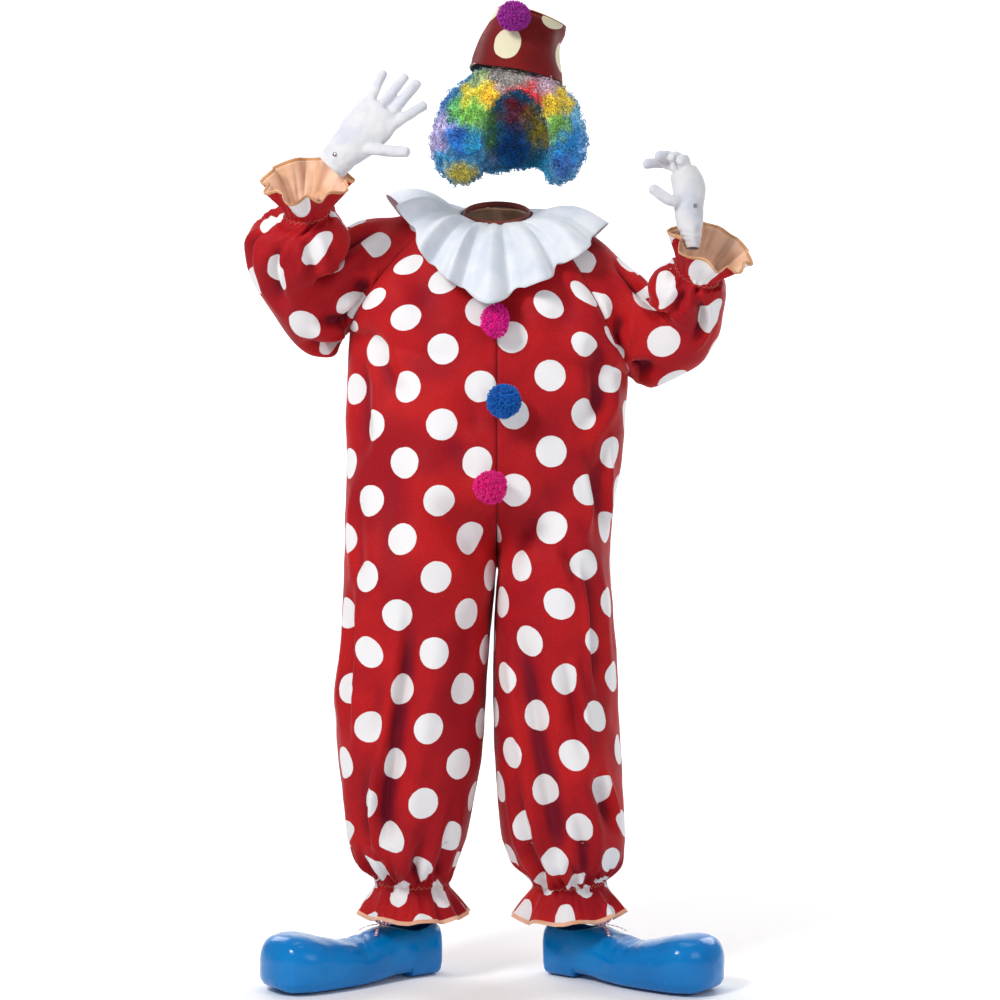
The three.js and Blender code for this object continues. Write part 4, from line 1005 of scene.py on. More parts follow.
def dotted_material(name, red, deep, dot, pitch, radius, seams=True):
    material, tree, shader = new_material(name, 0.62, Sheen_Weight=0.08, Sheen_Roughness=0.4,
                                          Specular_IOR_Level=0.15)
    shader.inputs["Sheen Tint"].default_value = (1, 0.55, 0.55, 1)
    flat = node_of(tree, "ShaderNodeUVMap").outputs[0]
    mask = use_group(tree, DOTS, Vector=flat, Pitch=pitch, Radius=radius)["Mask"]
    weave = use_group(tree, WEAVE, Vector=flat)
    place = node_of(tree, "ShaderNodeTexCoord").outputs["Object"]
    cloud = node_of(tree, "ShaderNodeTexNoise", Vector=place, Scale=7.0, Detail=3.0)
    mottled = mix_colour(tree, smooth_range(tree, cloud.outputs[0], 0.35, 0.65), red, deep)
    ground = mix_colour(tree, math_node(tree, "MULTIPLY", weave["Slubs"], 0.35), mottled, deep)
    speck = node_of(tree, "ShaderNodeTexNoise", Vector=flat, Scale=380.0, Detail=3.0, Roughness=0.7)
    tone = smooth_range(tree, speck.outputs[0], 0.3, 0.7, 0.72, 1.28)
    grey = node_of(tree, "ShaderNodeCombineXYZ", X=tone, Y=tone, Z=tone)
    ground = mix_colour(tree, 1.0, ground, grey.outputs[0], "MULTIPLY")
    height = weave["Height"]
    # Painted shade: by the fold depth in the hollow attribute, the red ground is darkened towards deep maroon and
    # the dots towards grey in the troughs of the folds, where shade falls.
    hollow = tree.nodes.new("ShaderNodeAttribute")
    hollow.attribute_name = "hollow"
    shade = smooth_range(tree, hollow.outputs["Fac"], 4.5, 22.0, 0.0, 0.75)
    fold_shaded_ground = mix_colour(tree, shade, ground, RED_FOLD_SHADE)
    fold_shaded_dot = mix_colour(tree, math_node(tree, "MULTIPLY", shade, 0.35), dot, (0.45, 0.36, 0.36, 1))
    printed = mix_colour(tree, math_node(tree, "MULTIPLY", mask, 0.98), fold_shaded_ground, fold_shaded_dot)
    if seams:
        distance = tree.nodes.new("ShaderNodeAttribute")
        distance.attribute_name = "seam_distance"
        seam = use_group(tree, SEAM, Vector=place, Distance=distance.outputs["Fac"])
        printed = mix_colour(tree, math_node(tree, "MULTIPLY", seam["Line"], 0.5), printed,
                             (0.10, 0.004, 0.008, 1))
        height = math_node(tree, "ADD", math_node(tree, "MULTIPLY", height, 0.3), seam["Height"])
    tree.links.new(printed, shader.inputs["Base Color"])
    tree.links.new(smooth_range(tree, weave["Slubs"], 0.2, 0.8, 0.55, 0.75),
                   shader.inputs["Roughness"])
    bump_to(tree, shader, height, 0.0010, 0.5)
    return material


def plain_cloth_material(name, colour, deep, threads=1000.0, roughness=0.65, sheen=0.2, strength=0.4):
    material, tree, shader = new_material(name, roughness, Sheen_Weight=sheen,
                                          Specular_IOR_Level=0.3)
    flat = node_of(tree, "ShaderNodeUVMap").outputs[0]
    weave = use_group(tree, WEAVE, Vector=flat, Threads_per_metre=threads)
    place = node_of(tree, "ShaderNodeTexCoord").outputs["Object"]
    cloud = node_of(tree, "ShaderNodeTexNoise", Vector=place, Scale=18.0, Detail=3.0)
    mottled = mix_colour(tree, smooth_range(tree, cloud.outputs[0], 0.35, 0.7), colour, deep)
    toned = mix_colour(tree, math_node(tree, "MULTIPLY", weave["Slubs"], 0.3), mottled, deep)
    tree.links.new(toned, shader.inputs["Base Color"])
    bump_to(tree, shader, weave["Height"], 0.0008, strength)
    return material


def jumpsuit_pieces():
    red = dotted_material("dotted_cloth", RED, RED_DEEP, DOT_WHITE, DOT_PITCH * MM, DOT_RADIUS * MM)
    reverse = plain_cloth_material("cloth_reverse", PEACH, (0.72, 0.42, 0.26, 1))
    sheets = jumpsuit()
    pieces = {}
    for name, sheet in sheets.items():
        obj = cloth_from(name + "_cloth", sheet["grid"], sheet["flat"], sheet["facing"],
                         closed=name.startswith("sleeve"),
                         attributes={"seam_distance": sheet["from_edge"], "hollow": sheet["hollow"]})
        finish_piece(obj, [name], [red, reverse])
        pieces[name] = obj
    return sheets, pieces


# ------------------------------------------------------------------ camera, lights and floor

PAPER_HALF = 12000


def studio():
    camera = bpy.data.cameras.new("camera")
    camera.lens = 81
    camera.sensor_width = 36
    view = bpy.data.objects.new("camera", camera)
    view.location = (0.006, -4.5, -0.57)
    view.rotation_euler = (math.pi / 2, 0, 0)
    bpy.context.scene.collection.objects.link(view)
    bpy.context.scene.camera = view
    lights = [
        {"at": (-1.8, -2.3, 1.4), "size": 0.8, "power": 84, "colour": (1, 0.98, 0.95)},
        {"at": (2.6, -3.0, 0.4), "size": 1.8, "power": 30, "colour": (0.96, 0.98, 1)},
        {"at": (0.3, 0.4, 2.6), "size": 2.0, "power": 26, "colour": (1, 1, 1)},
        {"at": (-1.8, 2.2, 0.8), "size": 1.6, "power": 34, "colour": (1, 1, 1)},
        {"at": (2.0, 2.0, 0.5), "size": 1.6, "power": 34, "colour": (1, 1, 1)},
    ]
    for k, row in enumerate(lights):
        lamp = bpy.data.lights.new(f"softbox_{k}", "AREA")
        lamp.size = row["size"]
        lamp.energy = row["power"]
        lamp.color = row["colour"]
        softbox = bpy.data.objects.new(lamp.name, lamp)
        softbox.location = row["at"]
        aim = Vector((0, 0, -0.5)) - Vector(row["at"])
        softbox.rotation_euler = aim.to_track_quat("-Z", "Y").to_euler()
        bpy.context.scene.collection.objects.link(softbox)
    world = bpy.data.worlds.new("world")
    bpy.context.scene.world = world
    world.use_nodes = True
    world.node_tree.nodes["Background"].inputs["Color"].default_value = (0.95, 0.97, 1, 1)
    world.node_tree.nodes["Background"].inputs["Strength"].default_value = 0.34
    bpy.context.scene.view_settings.view_transform = "Standard"
    # The paper runs far behind the set, so that a camera behind it still stands in front of the wall.
    sweep = [(-12.0, 0), (10.0, 0), (11.4, 0.6), (12.0, 2.0), (12.0, 12.0)]
    ys = np.interp(np.linspace(0, 4, 33), range(5), [p[0] for p in sweep])
    zs = np.interp(np.linspace(0, 4, 33), range(5), [p[1] for p in sweep])
    grid = np.array([[(x, y * 1000, z * 1000 - 1531) for x in (-PAPER_HALF, PAPER_HALF)] for y, z in zip(ys, zs)])
    floor = mesh_from("studio_floor", grid.reshape(-1, 3), grid_faces(33, 2, False, 1))
    material, tree, shader = new_material("studio_paper", 0.8)
    shader.inputs["Base Color"].default_value = (0.95, 0.95, 0.95, 1)
    place = tree.nodes.new("ShaderNodeTexCoord")
    split = tree.nodes.new("ShaderNodeSeparateXYZ")
    tree.links.new(place.outputs["Object"], split.inputs[0])
    glow = smooth_range(tree, split.outputs["Y"], 1.0, 4.5, 0, 0.66)
    shader.inputs["Emission Color"].default_value = (1, 1, 1, 1)
    tree.links.new(glow, shader.inputs["Emission Strength"])
    floor.data.materials.append(material)


# ------------------------------------------------------------------ bands, threads and small solids

def loft_faces(rings, columns, caps=True):
    """Faces of a loft through closed rings, with a fan-like cap over each end."""
    faces = []
    for r in range(rings - 1):
        for c in range(columns):
            d = (c + 1) % columns
            faces.append((r * columns + c, r * columns + d, (r + 1) * columns + d, (r + 1) * columns + c))
    if caps:
        faces.append(tuple(range(columns))[::-1])
        faces.append(tuple((rings - 1) * columns + c for c in range(columns)))
    return faces


def outward(obj):
    bm = bmesh.new()
    bm.from_mesh(obj.data)
    bmesh.ops.recalc_face_normals(bm, faces=bm.faces)
    bm.to_mesh(obj.data)
    bm.free()


def band(name, path, wide, half_width, half_thick, closed, sides=10):
    """A flat band along a path; wide is the way that its width points at each place."""
    path, wide = np.array(path, float), unit(np.array(wide, float))
    if closed:
        ahead = unit(np.roll(path, -1, axis=0) - np.roll(path, 1, axis=0))
    else:
        ahead = unit(np.gradient(path, axis=0))
    wide = unit(wide - ahead * np.sum(wide * ahead, axis=1, keepdims=True))
    thin = np.cross(ahead, wide)
    turn = np.arange(sides) * 2 * math.pi / sides
    across = np.sign(np.cos(turn)) * np.abs(np.cos(turn)) ** 0.6 * half_width
    through_ = np.sign(np.sin(turn)) * np.abs(np.sin(turn)) ** 0.8 * half_thick
    rings = path[:, None] + across[None, :, None] * wide[:, None] + through_[None, :, None] * thin[:, None]
    if closed:
        rings = np.concatenate([rings, rings[:1]])
    along = np.r_[0, np.cumsum(np.linalg.norm(np.diff(rings[:, 0], axis=0), axis=1))]
    uv = np.stack(np.broadcast_arrays(along[:, None], (across + half_width)[None]), axis=-1)
    obj = mesh_from(name, rings.reshape(-1, 3), loft_faces(len(rings), sides, not closed),
                    uv.reshape(-1, 2))
    if closed:
        weld(obj)
    outward(obj)
    return obj


def join_objects(first, *others):
    """Joins objects into the first; the others' materials follow its own."""
    bm = bmesh.new()
    bm.from_mesh(first.data)
    count = len(first.data.materials)
    for other in others:
        start = len(bm.faces)
        bm.from_mesh(other.data)
        bm.faces.ensure_lookup_table()
        for face in bm.faces[start:]:
            face.material_index += count
        for material in other.data.materials:
            first.data.materials.append(material)
        count = len(first.data.materials)
        bpy.data.objects.remove(other)
    bm.to_mesh(first.data)
    bm.free()
    return first


def geometry_tree(name, inputs, build):
    """A Geometry Nodes tree: build(tree, inputs) gives the geometry that leaves it."""
    tree = bpy.data.node_groups.new(name, "GeometryNodeTree")
    tree.interface.new_socket("Geometry", in_out="INPUT", socket_type="NodeSocketGeometry")
    for key, (kind, value) in inputs.items():
        socket = tree.interface.new_socket(key, in_out="INPUT", socket_type=kind)
        if value is not None:
            socket.default_value = value
    tree.interface.new_socket("Geometry", in_out="OUTPUT", socket_type="NodeSocketGeometry")
    entry = tree.nodes.new("NodeGroupInput")
    leave = tree.nodes.new("NodeGroupOutput")
    made = build(tree, entry.outputs)
    whole = node_of(tree, "GeometryNodeRealizeInstances", Geometry=made)
    painted = node_of(tree, "GeometryNodeSetMaterial", Geometry=whole.outputs[0],
                      Material=entry.outputs["Material"])
    tree.links.new(painted.outputs[0], leave.inputs["Geometry"])
    return tree


def grown_by(obj, tree, **values):
    """Runs a Geometry Nodes tree on an object and keeps the result as its plain mesh."""
    modifier = obj.modifiers.new(tree.name, "NODES")
    modifier.node_group = tree
    for item in tree.interface.items_tree:
        if item.in_out == "INPUT" and item.name.replace(" ", "_") in values:
            modifier[item.identifier] = values[item.name.replace(" ", "_")]
    return apply_modifiers(obj)


def build_strands(tree, given):
    """Bent strands standing all over a surface."""
    spread = node_of(tree, "GeometryNodeDistributePointsOnFaces", Mesh=given["Geometry"],
                     Density=given["Density"], Seed=given["Seed"])
    bend = math_node(tree, "MULTIPLY", given["Length"], 0.35)
    middle = node_of(tree, "ShaderNodeCombineXYZ", X=bend,
                     Z=math_node(tree, "MULTIPLY", given["Length"], 0.6))
    end = node_of(tree, "ShaderNodeCombineXYZ", X=0.0, Z=given["Length"])
    arc = node_of(tree, "GeometryNodeCurveQuadraticBezier", Resolution=3, Start=(0, 0, 0),
                  Middle=middle.outputs[0], End=end.outputs[0])
    section = node_of(tree, "GeometryNodeCurvePrimitiveCircle", Resolution=3)
    tree.links.new(given["Radius"], section.inputs["Radius"])
    strand = node_of(tree, "GeometryNodeCurveToMesh", Curve=arc.outputs[0],
                     Profile_Curve=section.outputs[0], Fill_Caps=True)
    return turned_instances(tree, spread, strand.outputs[0], given["Seed"], 0.45, (0.75, 1.12))


def build_curls(tree, given):
    """Spring-like curls lying all over a surface."""
    spread = node_of(tree, "GeometryNodeDistributePointsOnFaces", Mesh=given["Geometry"],
                     Density=given["Density"], Seed=given["Seed"])
    spiral = node_of(tree, "GeometryNodeCurveSpiral", Resolution=5, Rotations=1.6)
    tree.links.new(given["Size"], spiral.inputs["Start Radius"])
    tree.links.new(math_node(tree, "MULTIPLY", given["Size"], 0.7), spiral.inputs["End Radius"])
    tree.links.new(math_node(tree, "MULTIPLY", given["Size"], 1.9), spiral.inputs["Height"])
    section = node_of(tree, "GeometryNodeCurvePrimitiveCircle", Resolution=3)
    tree.links.new(given["Radius"], section.inputs["Radius"])
    curl = node_of(tree, "GeometryNodeCurveToMesh", Curve=spiral.outputs[0],
                   Profile_Curve=section.outputs[0], Fill_Caps=True)
    return turned_instances(tree, spread, curl.outputs[0], given["Seed"], 1.3, (0.55, 1.35))


def turned_instances(tree, spread, shape, seed, swing, sizes):
    """Places a shape on points, each turned and scaled at random from the seed."""
    turn = tree.nodes.new("FunctionNodeRandomValue")
    turn.data_type = "FLOAT_VECTOR"
    turn.inputs["Min"].default_value = (-swing, -swing, -math.pi)
    turn.inputs["Max"].default_value = (swing, swing, math.pi)
    tree.links.new(seed, turn.inputs["Seed"])
    size = tree.nodes.new("FunctionNodeRandomValue")
    size.data_type = "FLOAT"
    floats = [socket for socket in size.inputs if socket.type == "VALUE"]
    floats[0].default_value, floats[1].default_value = sizes
    tree.links.new(seed, size.inputs["Seed"])
    rotate = tree.nodes.new("FunctionNodeRotateRotation")
    rotate.rotation_space = "LOCAL"
    tree.links.new(spread.outputs["Rotation"], rotate.inputs[0])
    tree.links.new(turn.outputs[0], rotate.inputs[1])
    placed = node_of(tree, "GeometryNodeInstanceOnPoints", Points=spread.outputs["Points"],
                     Instance=shape, Rotation=rotate.outputs[0])
    tree.links.new([s for s in size.outputs if s.type == "VALUE"][0], placed.inputs["Scale"])
    return placed.outputs[0]


def build_threads(tree, given):
    """Threads along the edges of a mesh."""
    lines = node_of(tree, "GeometryNodeMeshToCurve", Mesh=given["Geometry"])
    section = node_of(tree, "GeometryNodeCurvePrimitiveCircle", Resolution=4)
    tree.links.new(given["Radius"], section.inputs["Radius"])
    thread = node_of(tree, "GeometryNodeCurveToMesh", Curve=lines.outputs[0],
                     Profile_Curve=section.outputs[0], Fill_Caps=True)
    return thread.outputs[0]


FLOAT = "NodeSocketFloat"
MATERIAL = {"Material": ("NodeSocketMaterial", None)}
STRANDS = geometry_tree("strands", {"Density": (FLOAT, 1.0), "Length": (FLOAT, 0.01),
                                    "Radius": (FLOAT, 0.001), "Seed": ("NodeSocketInt", 1),
                                    **MATERIAL}, build_strands)
CURLS = geometry_tree("curls", {"Density": (FLOAT, 1.0), "Size": (FLOAT, 0.01),
                                "Radius": (FLOAT, 0.001), "Seed": ("NodeSocketInt", 1),
                                **MATERIAL}, build_curls)
THREADS = geometry_tree("threads", {"Radius": (FLOAT, 0.0005), **MATERIAL}, build_threads)


def stitches(name, dashes, radius, material):
    """Short threads, each between two places."""
    obj = mesh_from(name, np.array(dashes).reshape(-1, 3), [])
    bm = bmesh.new()
    for k, (a, b) in enumerate(dashes):
        bm.edges.new([bm.verts.new(Vector(a) * MM), bm.verts.new(Vector(b) * MM)])
    bm.to_mesh(obj.data)
    bm.free()
    return grown_by(obj, THREADS, Radius=radius * MM, Material=material)


# ------------------------------------------------------------------ bindings and casings

def edge_of(sheets, side, part):
    """The last two rows round a frill: a cuff's, or an ankle's front and back together."""
    if part == "cuff":
        grid = sheets[f"sleeve_{side}"]["grid"]
        return [grid[k, :-1] for k in (-2, -1)]
    front, back = sheets[f"front_{side}"]["grid"], sheets[f"back_{side}"]["grid"]
    return [np.concatenate([front[k], back[k, 1:-1][::-1]]) for k in (-2, -1)]


def casing_zigzag(sheets, side, part):
    """Zigzag stitches over the elastic, on the outer face."""
    dashes = []
    if part == "cuff":
        strips = [(sheets[f"sleeve_{side}"], CASING_ROW, 2, 2)]
    else:
        rows = len(sheets[f"front_{side}"]["grid"])
        strips = [(sheets[f"{face}_{side}"], rows + CASING_ROW_UP, 3, 2)
                  for face in ("front", "back")]
    for sheet, row, drop, step in strips:
        grid = sheet["grid"]
        out = grid_normals(grid, False, sheet["facing"]) * 0.9
        for c in range(0, grid.shape[1] - step, step):
            top, low = (row, row + drop) if (c // step) % 2 == 0 else (row + drop, row)
            a, b = grid[top, c] + out[top, c], grid[low, c + step] + out[low, c + step]
            dashes.append((mixed(a, b, 0.08), mixed(a, b, 0.92)))
    return dashes


def trims(sheets):
    peach = plain_cloth_material("binding_cloth", (0.88, 0.52, 0.36, 1), (0.70, 0.34, 0.20, 1), 1400.0)
    tan = plain_cloth_material("binding_cloth_tan", (0.80, 0.44, 0.22, 1), (0.50, 0.24, 0.10, 1), 1400.0)
    thread = plain_cloth_material("stitch_thread", (0.66, 0.26, 0.19, 1), (0.5, 0.16, 0.12, 1), 3000.0)
    made = {}
    for side in SIDES:
        for part in ("cuff", "ankle"):
            before, edge = edge_of(sheets, side, part)
            away = unit(edge - before)
            node = f"{part}_binding_{side}"
            obj = band(node + "_tape", edge + away * 2.2, away, 4.2, 1.1, True, 8)
            finish_piece(obj, [node], [tan if part == "cuff" else peach])
            made[node] = obj
            zigzag = stitches(f"{part}_stitches_{side}", casing_zigzag(sheets, side, part), 0.35,
                              thread)
            finish_piece(zigzag, [], [thread])
            made[f"{part}_stitches_{side}"] = zigzag
    return made


# ------------------------------------------------------------------ ruff and neck binding

# Ridges and hollows round the ruff, by the angle in degrees from the centre front towards the
# wearer's left: how far the hem stands out, and how much longer the cloth hangs there.
RUFF_PLEATS = [
    {"angle": -180, "out": 9, "long": 0}, {"angle": -166, "out": -9, "long": -4},
    {"angle": -150, "out": 10, "long": 3}, {"angle": -134, "out": -8, "long": -3},
    {"angle": -120, "out": 8, "long": 2}, {"angle": -106, "out": -7, "long": 0},
    {"angle": -91, "out": 9, "long": 4}, {"angle": -76, "out": -6, "long": -4},
    {"angle": -64, "out": 9, "long": 2}, {"angle": -52, "out": -10, "long": -8},
    {"angle": -41, "out": 12, "long": 4}, {"angle": -31, "out": -12, "long": -4},
    {"angle": -22, "out": 10, "long": 2}, {"angle": -13, "out": -8, "long": -4},
    {"angle": -2, "out": 13, "long": 12}, {"angle": 7, "out": -12, "long": -8},
    {"angle": 17, "out": 10, "long": -2}, {"angle": 26, "out": 5, "long": -2},
    {"angle": 33, "out": -13, "long": -12}, {"angle": 43, "out": 9, "long": 0},
    {"angle": 55, "out": 3, "long": 2}, {"angle": 66, "out": -7, "long": -2},
    {"angle": 82, "out": 8, "long": 3}, {"angle": 98, "out": -7, "long": 0},
    {"angle": 114, "out": 8, "long": 2}, {"angle": 130, "out": -9, "long": -3},
    {"angle": 146, "out": 9, "long": 2}, {"angle": 162, "out": -9, "long": -3},
    {"angle": 180, "out": 9, "long": 0},
]
RUFF_COLUMNS = 360
RUFF_ROWS = 40


def ruff_edge(angle):
    across, ahead = np.sin(angle), np.cos(angle)
    full = lambda value: np.sign(value) * np.abs(value) ** 0.8
    side_height = np.where(across < 0, 26, -30)
    end_height = np.where(ahead > 0, -182, -150)
    y = np.where(ahead > 0, -196, -206) * full(ahead)
    return np.stack([full(across) * 206, y, mixed(side_height, end_height, ahead**2)], axis=-1)


def ruff_grid():
    angle = np.linspace(-math.pi, math.pi, RUFF_COLUMNS + 1)
    degrees = np.degrees(angle)
    inner = neck_point(angle, 1, 4, 7)
    outer = ruff_edge(angle)
    crown = mixed(inner, outer, 0.5)
    crown[:, 1] -= 14 * np.cos(angle)
    crown[:, 2] += 40 + 18 * np.cos(angle) ** 2
    fall = unit(outer - crown)
    outer = outer + 2.4 * fall * table_value(RUFF_PLEATS, "angle", "long", degrees)[:, None]
    t = np.linspace(0, 1, RUFF_ROWS + 1)[:, None, None]
    sheet = (1 - t)**2 * inner + 2 * t * (1 - t) * crown + t**2 * outer
    normals = grid_normals(sheet, False, -1)
    normals[:, 0] = normals[:, -1] = unit(normals[:, 0] + normals[:, -1])
    along = t[..., 0]
    pleats = 1.9 * table_value(RUFF_PLEATS, "angle", "out", degrees)[None]
    pleats = (np.maximum(pleats, -9) + 4) * ease(along * 1.2) ** 0.8
    rng = np.random.default_rng(7)
    gathered = np.zeros_like(pleats)
    for _ in range(46):
        spot, width, long = rng.uniform(-180, 180), rng.uniform(1.6, 3.6), rng.uniform(0.25, 0.75)
        gap = (degrees[None] - spot + 180) % 360 - 180
        gathered -= (rng.uniform(1.2, 3.2) * np.exp(-(gap / width)**2)
                     * np.clip(1 - along / long, 0, 1) ** 0.8)
    ripple = soft_noise(np.stack(np.broadcast_arrays(1.6 * degrees[None], 120 * along), axis=-1), 60, 3)
    blend = ease((180 - np.abs(degrees)) / 20)[None]
    return sheet + normals * (pleats + gathered * blend + 1.4 * ripple * blend * along)[..., None]


def ruff():
    grid = ruff_grid()
    uv = np.stack([row_lengths(grid), -column_lengths(grid)], axis=-1)
    white = plain_cloth_material("ruff_cloth", (0.74, 0.76, 0.81, 1), (0.60, 0.66, 0.75, 1), 900.0,
                                 0.7, 0.3)
    obj = cloth_from("ruff_cloth", grid, uv, -1, closed=True, wall=1.2)
    finish_piece(obj, ["ruff"], [white])
    brown = plain_cloth_material("neck_binding_cloth", (0.26, 0.045, 0.025, 1),
                                 (0.15, 0.02, 0.014, 1), 1300.0)
    angle = np.linspace(-math.pi, math.pi, 120, endpoint=False)
    path = neck_point(angle, 1, -3, 6)
    up = np.broadcast_to(np.array([0, -0.12, 1.0]), path.shape)
    binding = band("neck_binding_tape", path, up, 5.6, 1.7, True)
    finish_piece(binding, ["neck_binding"], [brown])
    return obj, binding


# ------------------------------------------------------------------ pom-poms

POMPOMS = [
    {"node": "pompom_top", "slot": "magenta_wool", "half": (25, 24, 32), "colour": (1.0, 0.006, 0.42, 1)},
    {"node": "pompom_middle", "slot": "blue_wool", "half": (32, 30, 32), "colour": (0.0, 0.18, 0.68, 1)},
    {"node": "pompom_bottom", "slot": "pink_wool", "half": (31, 30, 31), "colour": (1.0, 0.010, 0.32, 1)},
    {"node": "hat_pompom", "slot": "purple_wool", "half": (32, 27, 27), "colour": (0.48, 0.022, 0.44, 1)},
]


def ball_mesh(name, centre, half, detail=4):
    bm = bmesh.new()
    bmesh.ops.create_icosphere(bm, subdivisions=detail, radius=1)
    mesh = bpy.data.meshes.new(name)
    bm.to_mesh(mesh)
    bm.free()
    obj = bpy.data.objects.new(name, mesh)
    bpy.context.scene.collection.objects.link(obj)
    for vertex in mesh.vertices:
        vertex.co = Vector([(c + h * v) * MM for c, h, v in zip(centre, half, vertex.co)])
    mesh.shade_smooth()
    return obj


def wool_material(name, colour):
    material, tree, shader = new_material(name, 0.85, Sheen_Weight=0.15, Sheen_Roughness=0.5,
                                          Specular_IOR_Level=0.15)
    place = node_of(tree, "ShaderNodeTexCoord").outputs["Object"]
    clumps = node_of(tree, "ShaderNodeTexNoise", Vector=place, Scale=160.0, Detail=3.0)
    dark = tuple(0.78 * c for c in colour[:3]) + (1,)
    tint = smooth_range(tree, clumps.outputs[0], 0.35, 0.6)
    tree.links.new(mix_colour(tree, tint, dark, colour), shader.inputs["Base Color"])
    bump_to(tree, shader, clumps.outputs[0], 0.002, 0.6)
    return material


YARN = {"density": 165000.0, "length": 8.5, "radius": 1.12}  # ends per square metre, millimetres


def pompoms():
    for k, row in enumerate(POMPOMS):
        low, high = (np.array(corner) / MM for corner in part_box(row["node"]))
        centre = (low + high) / 2
        wool = wool_material(row["slot"], row["colour"])
        core = ball_mesh(row["node"] + "_core", centre, np.array(row["half"]) * 0.8, 3)
        noise = np.random.default_rng(20 + k)
        waves = noise.normal(0, 1, (5, 3))
        for vertex in core.data.vertices:
            way = (np.array(vertex.co) / MM - centre) / (0.8 * np.array(row["half"]))
            lump = 1 + 0.025 * sum(math.sin(3 * (way @ w)) for w in waves)
            vertex.co = Vector((centre + way * 0.8 * np.array(row["half"]) * lump) * MM)
        yarn = core.copy()
        yarn.data = core.data.copy()
        bpy.context.scene.collection.objects.link(yarn)
        grown_by(yarn, STRANDS, Density=YARN["density"], Length=YARN["length"] * MM,
                 Radius=YARN["radius"] * MM, Seed=k + 1, Material=wool)
        core.data.materials.append(wool)
        yarn.data.materials.clear()
        pompom = join_objects(core, yarn)
        pompom.name = row["node"] + "_wool"
        finish_piece(pompom, [row["node"]], [wool])
        for face in pompom.data.polygons:
            face.material_index = 0


# ------------------------------------------------------------------ hat

HAT_RINGS = [
    {"right": (-52, 292), "left": (131, 262), "depth": 88},
    {"right": (-49, 322), "left": (130, 300), "depth": 87},
    {"right": (-34, 360), "left": (131, 338), "depth": 80},
    {"right": (-12, 394), "left": (139, 362), "depth": 70},
    {"right": (2, 414), "left": (138, 374), "depth": 62},
]
HAT_Y = 6
HAT_COLUMNS = 160
HAT_PITCH = 148
HAT_DOT = (-24, 46)
# Dents of the soft hat: the angle round it from the wearer's left over the front, how far up
# it is from 0 at the brim to 1 at the crown, its size and its depth.
HAT_DENTS = [
    {"turn": -18, "up": 0.62, "wide": 26, "tall": 0.34, "depth": 9},
    {"turn": -62, "up": 0.35, "wide": 20, "tall": 0.5, "depth": 4},
    {"turn": -118, "up": 0.85, "wide": 22, "tall": 0.25, "depth": 5},
    {"turn": -160, "up": 0.25, "wide": 20, "tall": 0.3, "depth": 6},
    {"turn": 60, "up": 0.55, "wide": 26, "tall": 0.5, "depth": 7},
    {"turn": 125, "up": 0.4, "wide": 24, "tall": 0.4, "depth": 6},
]


def hat_ring(ring, turn, shrink=1.0):
    right, left = np.array(ring["right"], float), np.array(ring["left"], float)
    across = np.cos(turn) * shrink
    x = (right[0] + left[0]) / 2 + (left[0] - right[0]) / 2 * across
    z = (right[1] + left[1]) / 2 + (left[1] - right[1]) / 2 * across
    return np.stack([x, HAT_Y + ring["depth"] * shrink * np.sin(turn), z], axis=-1)


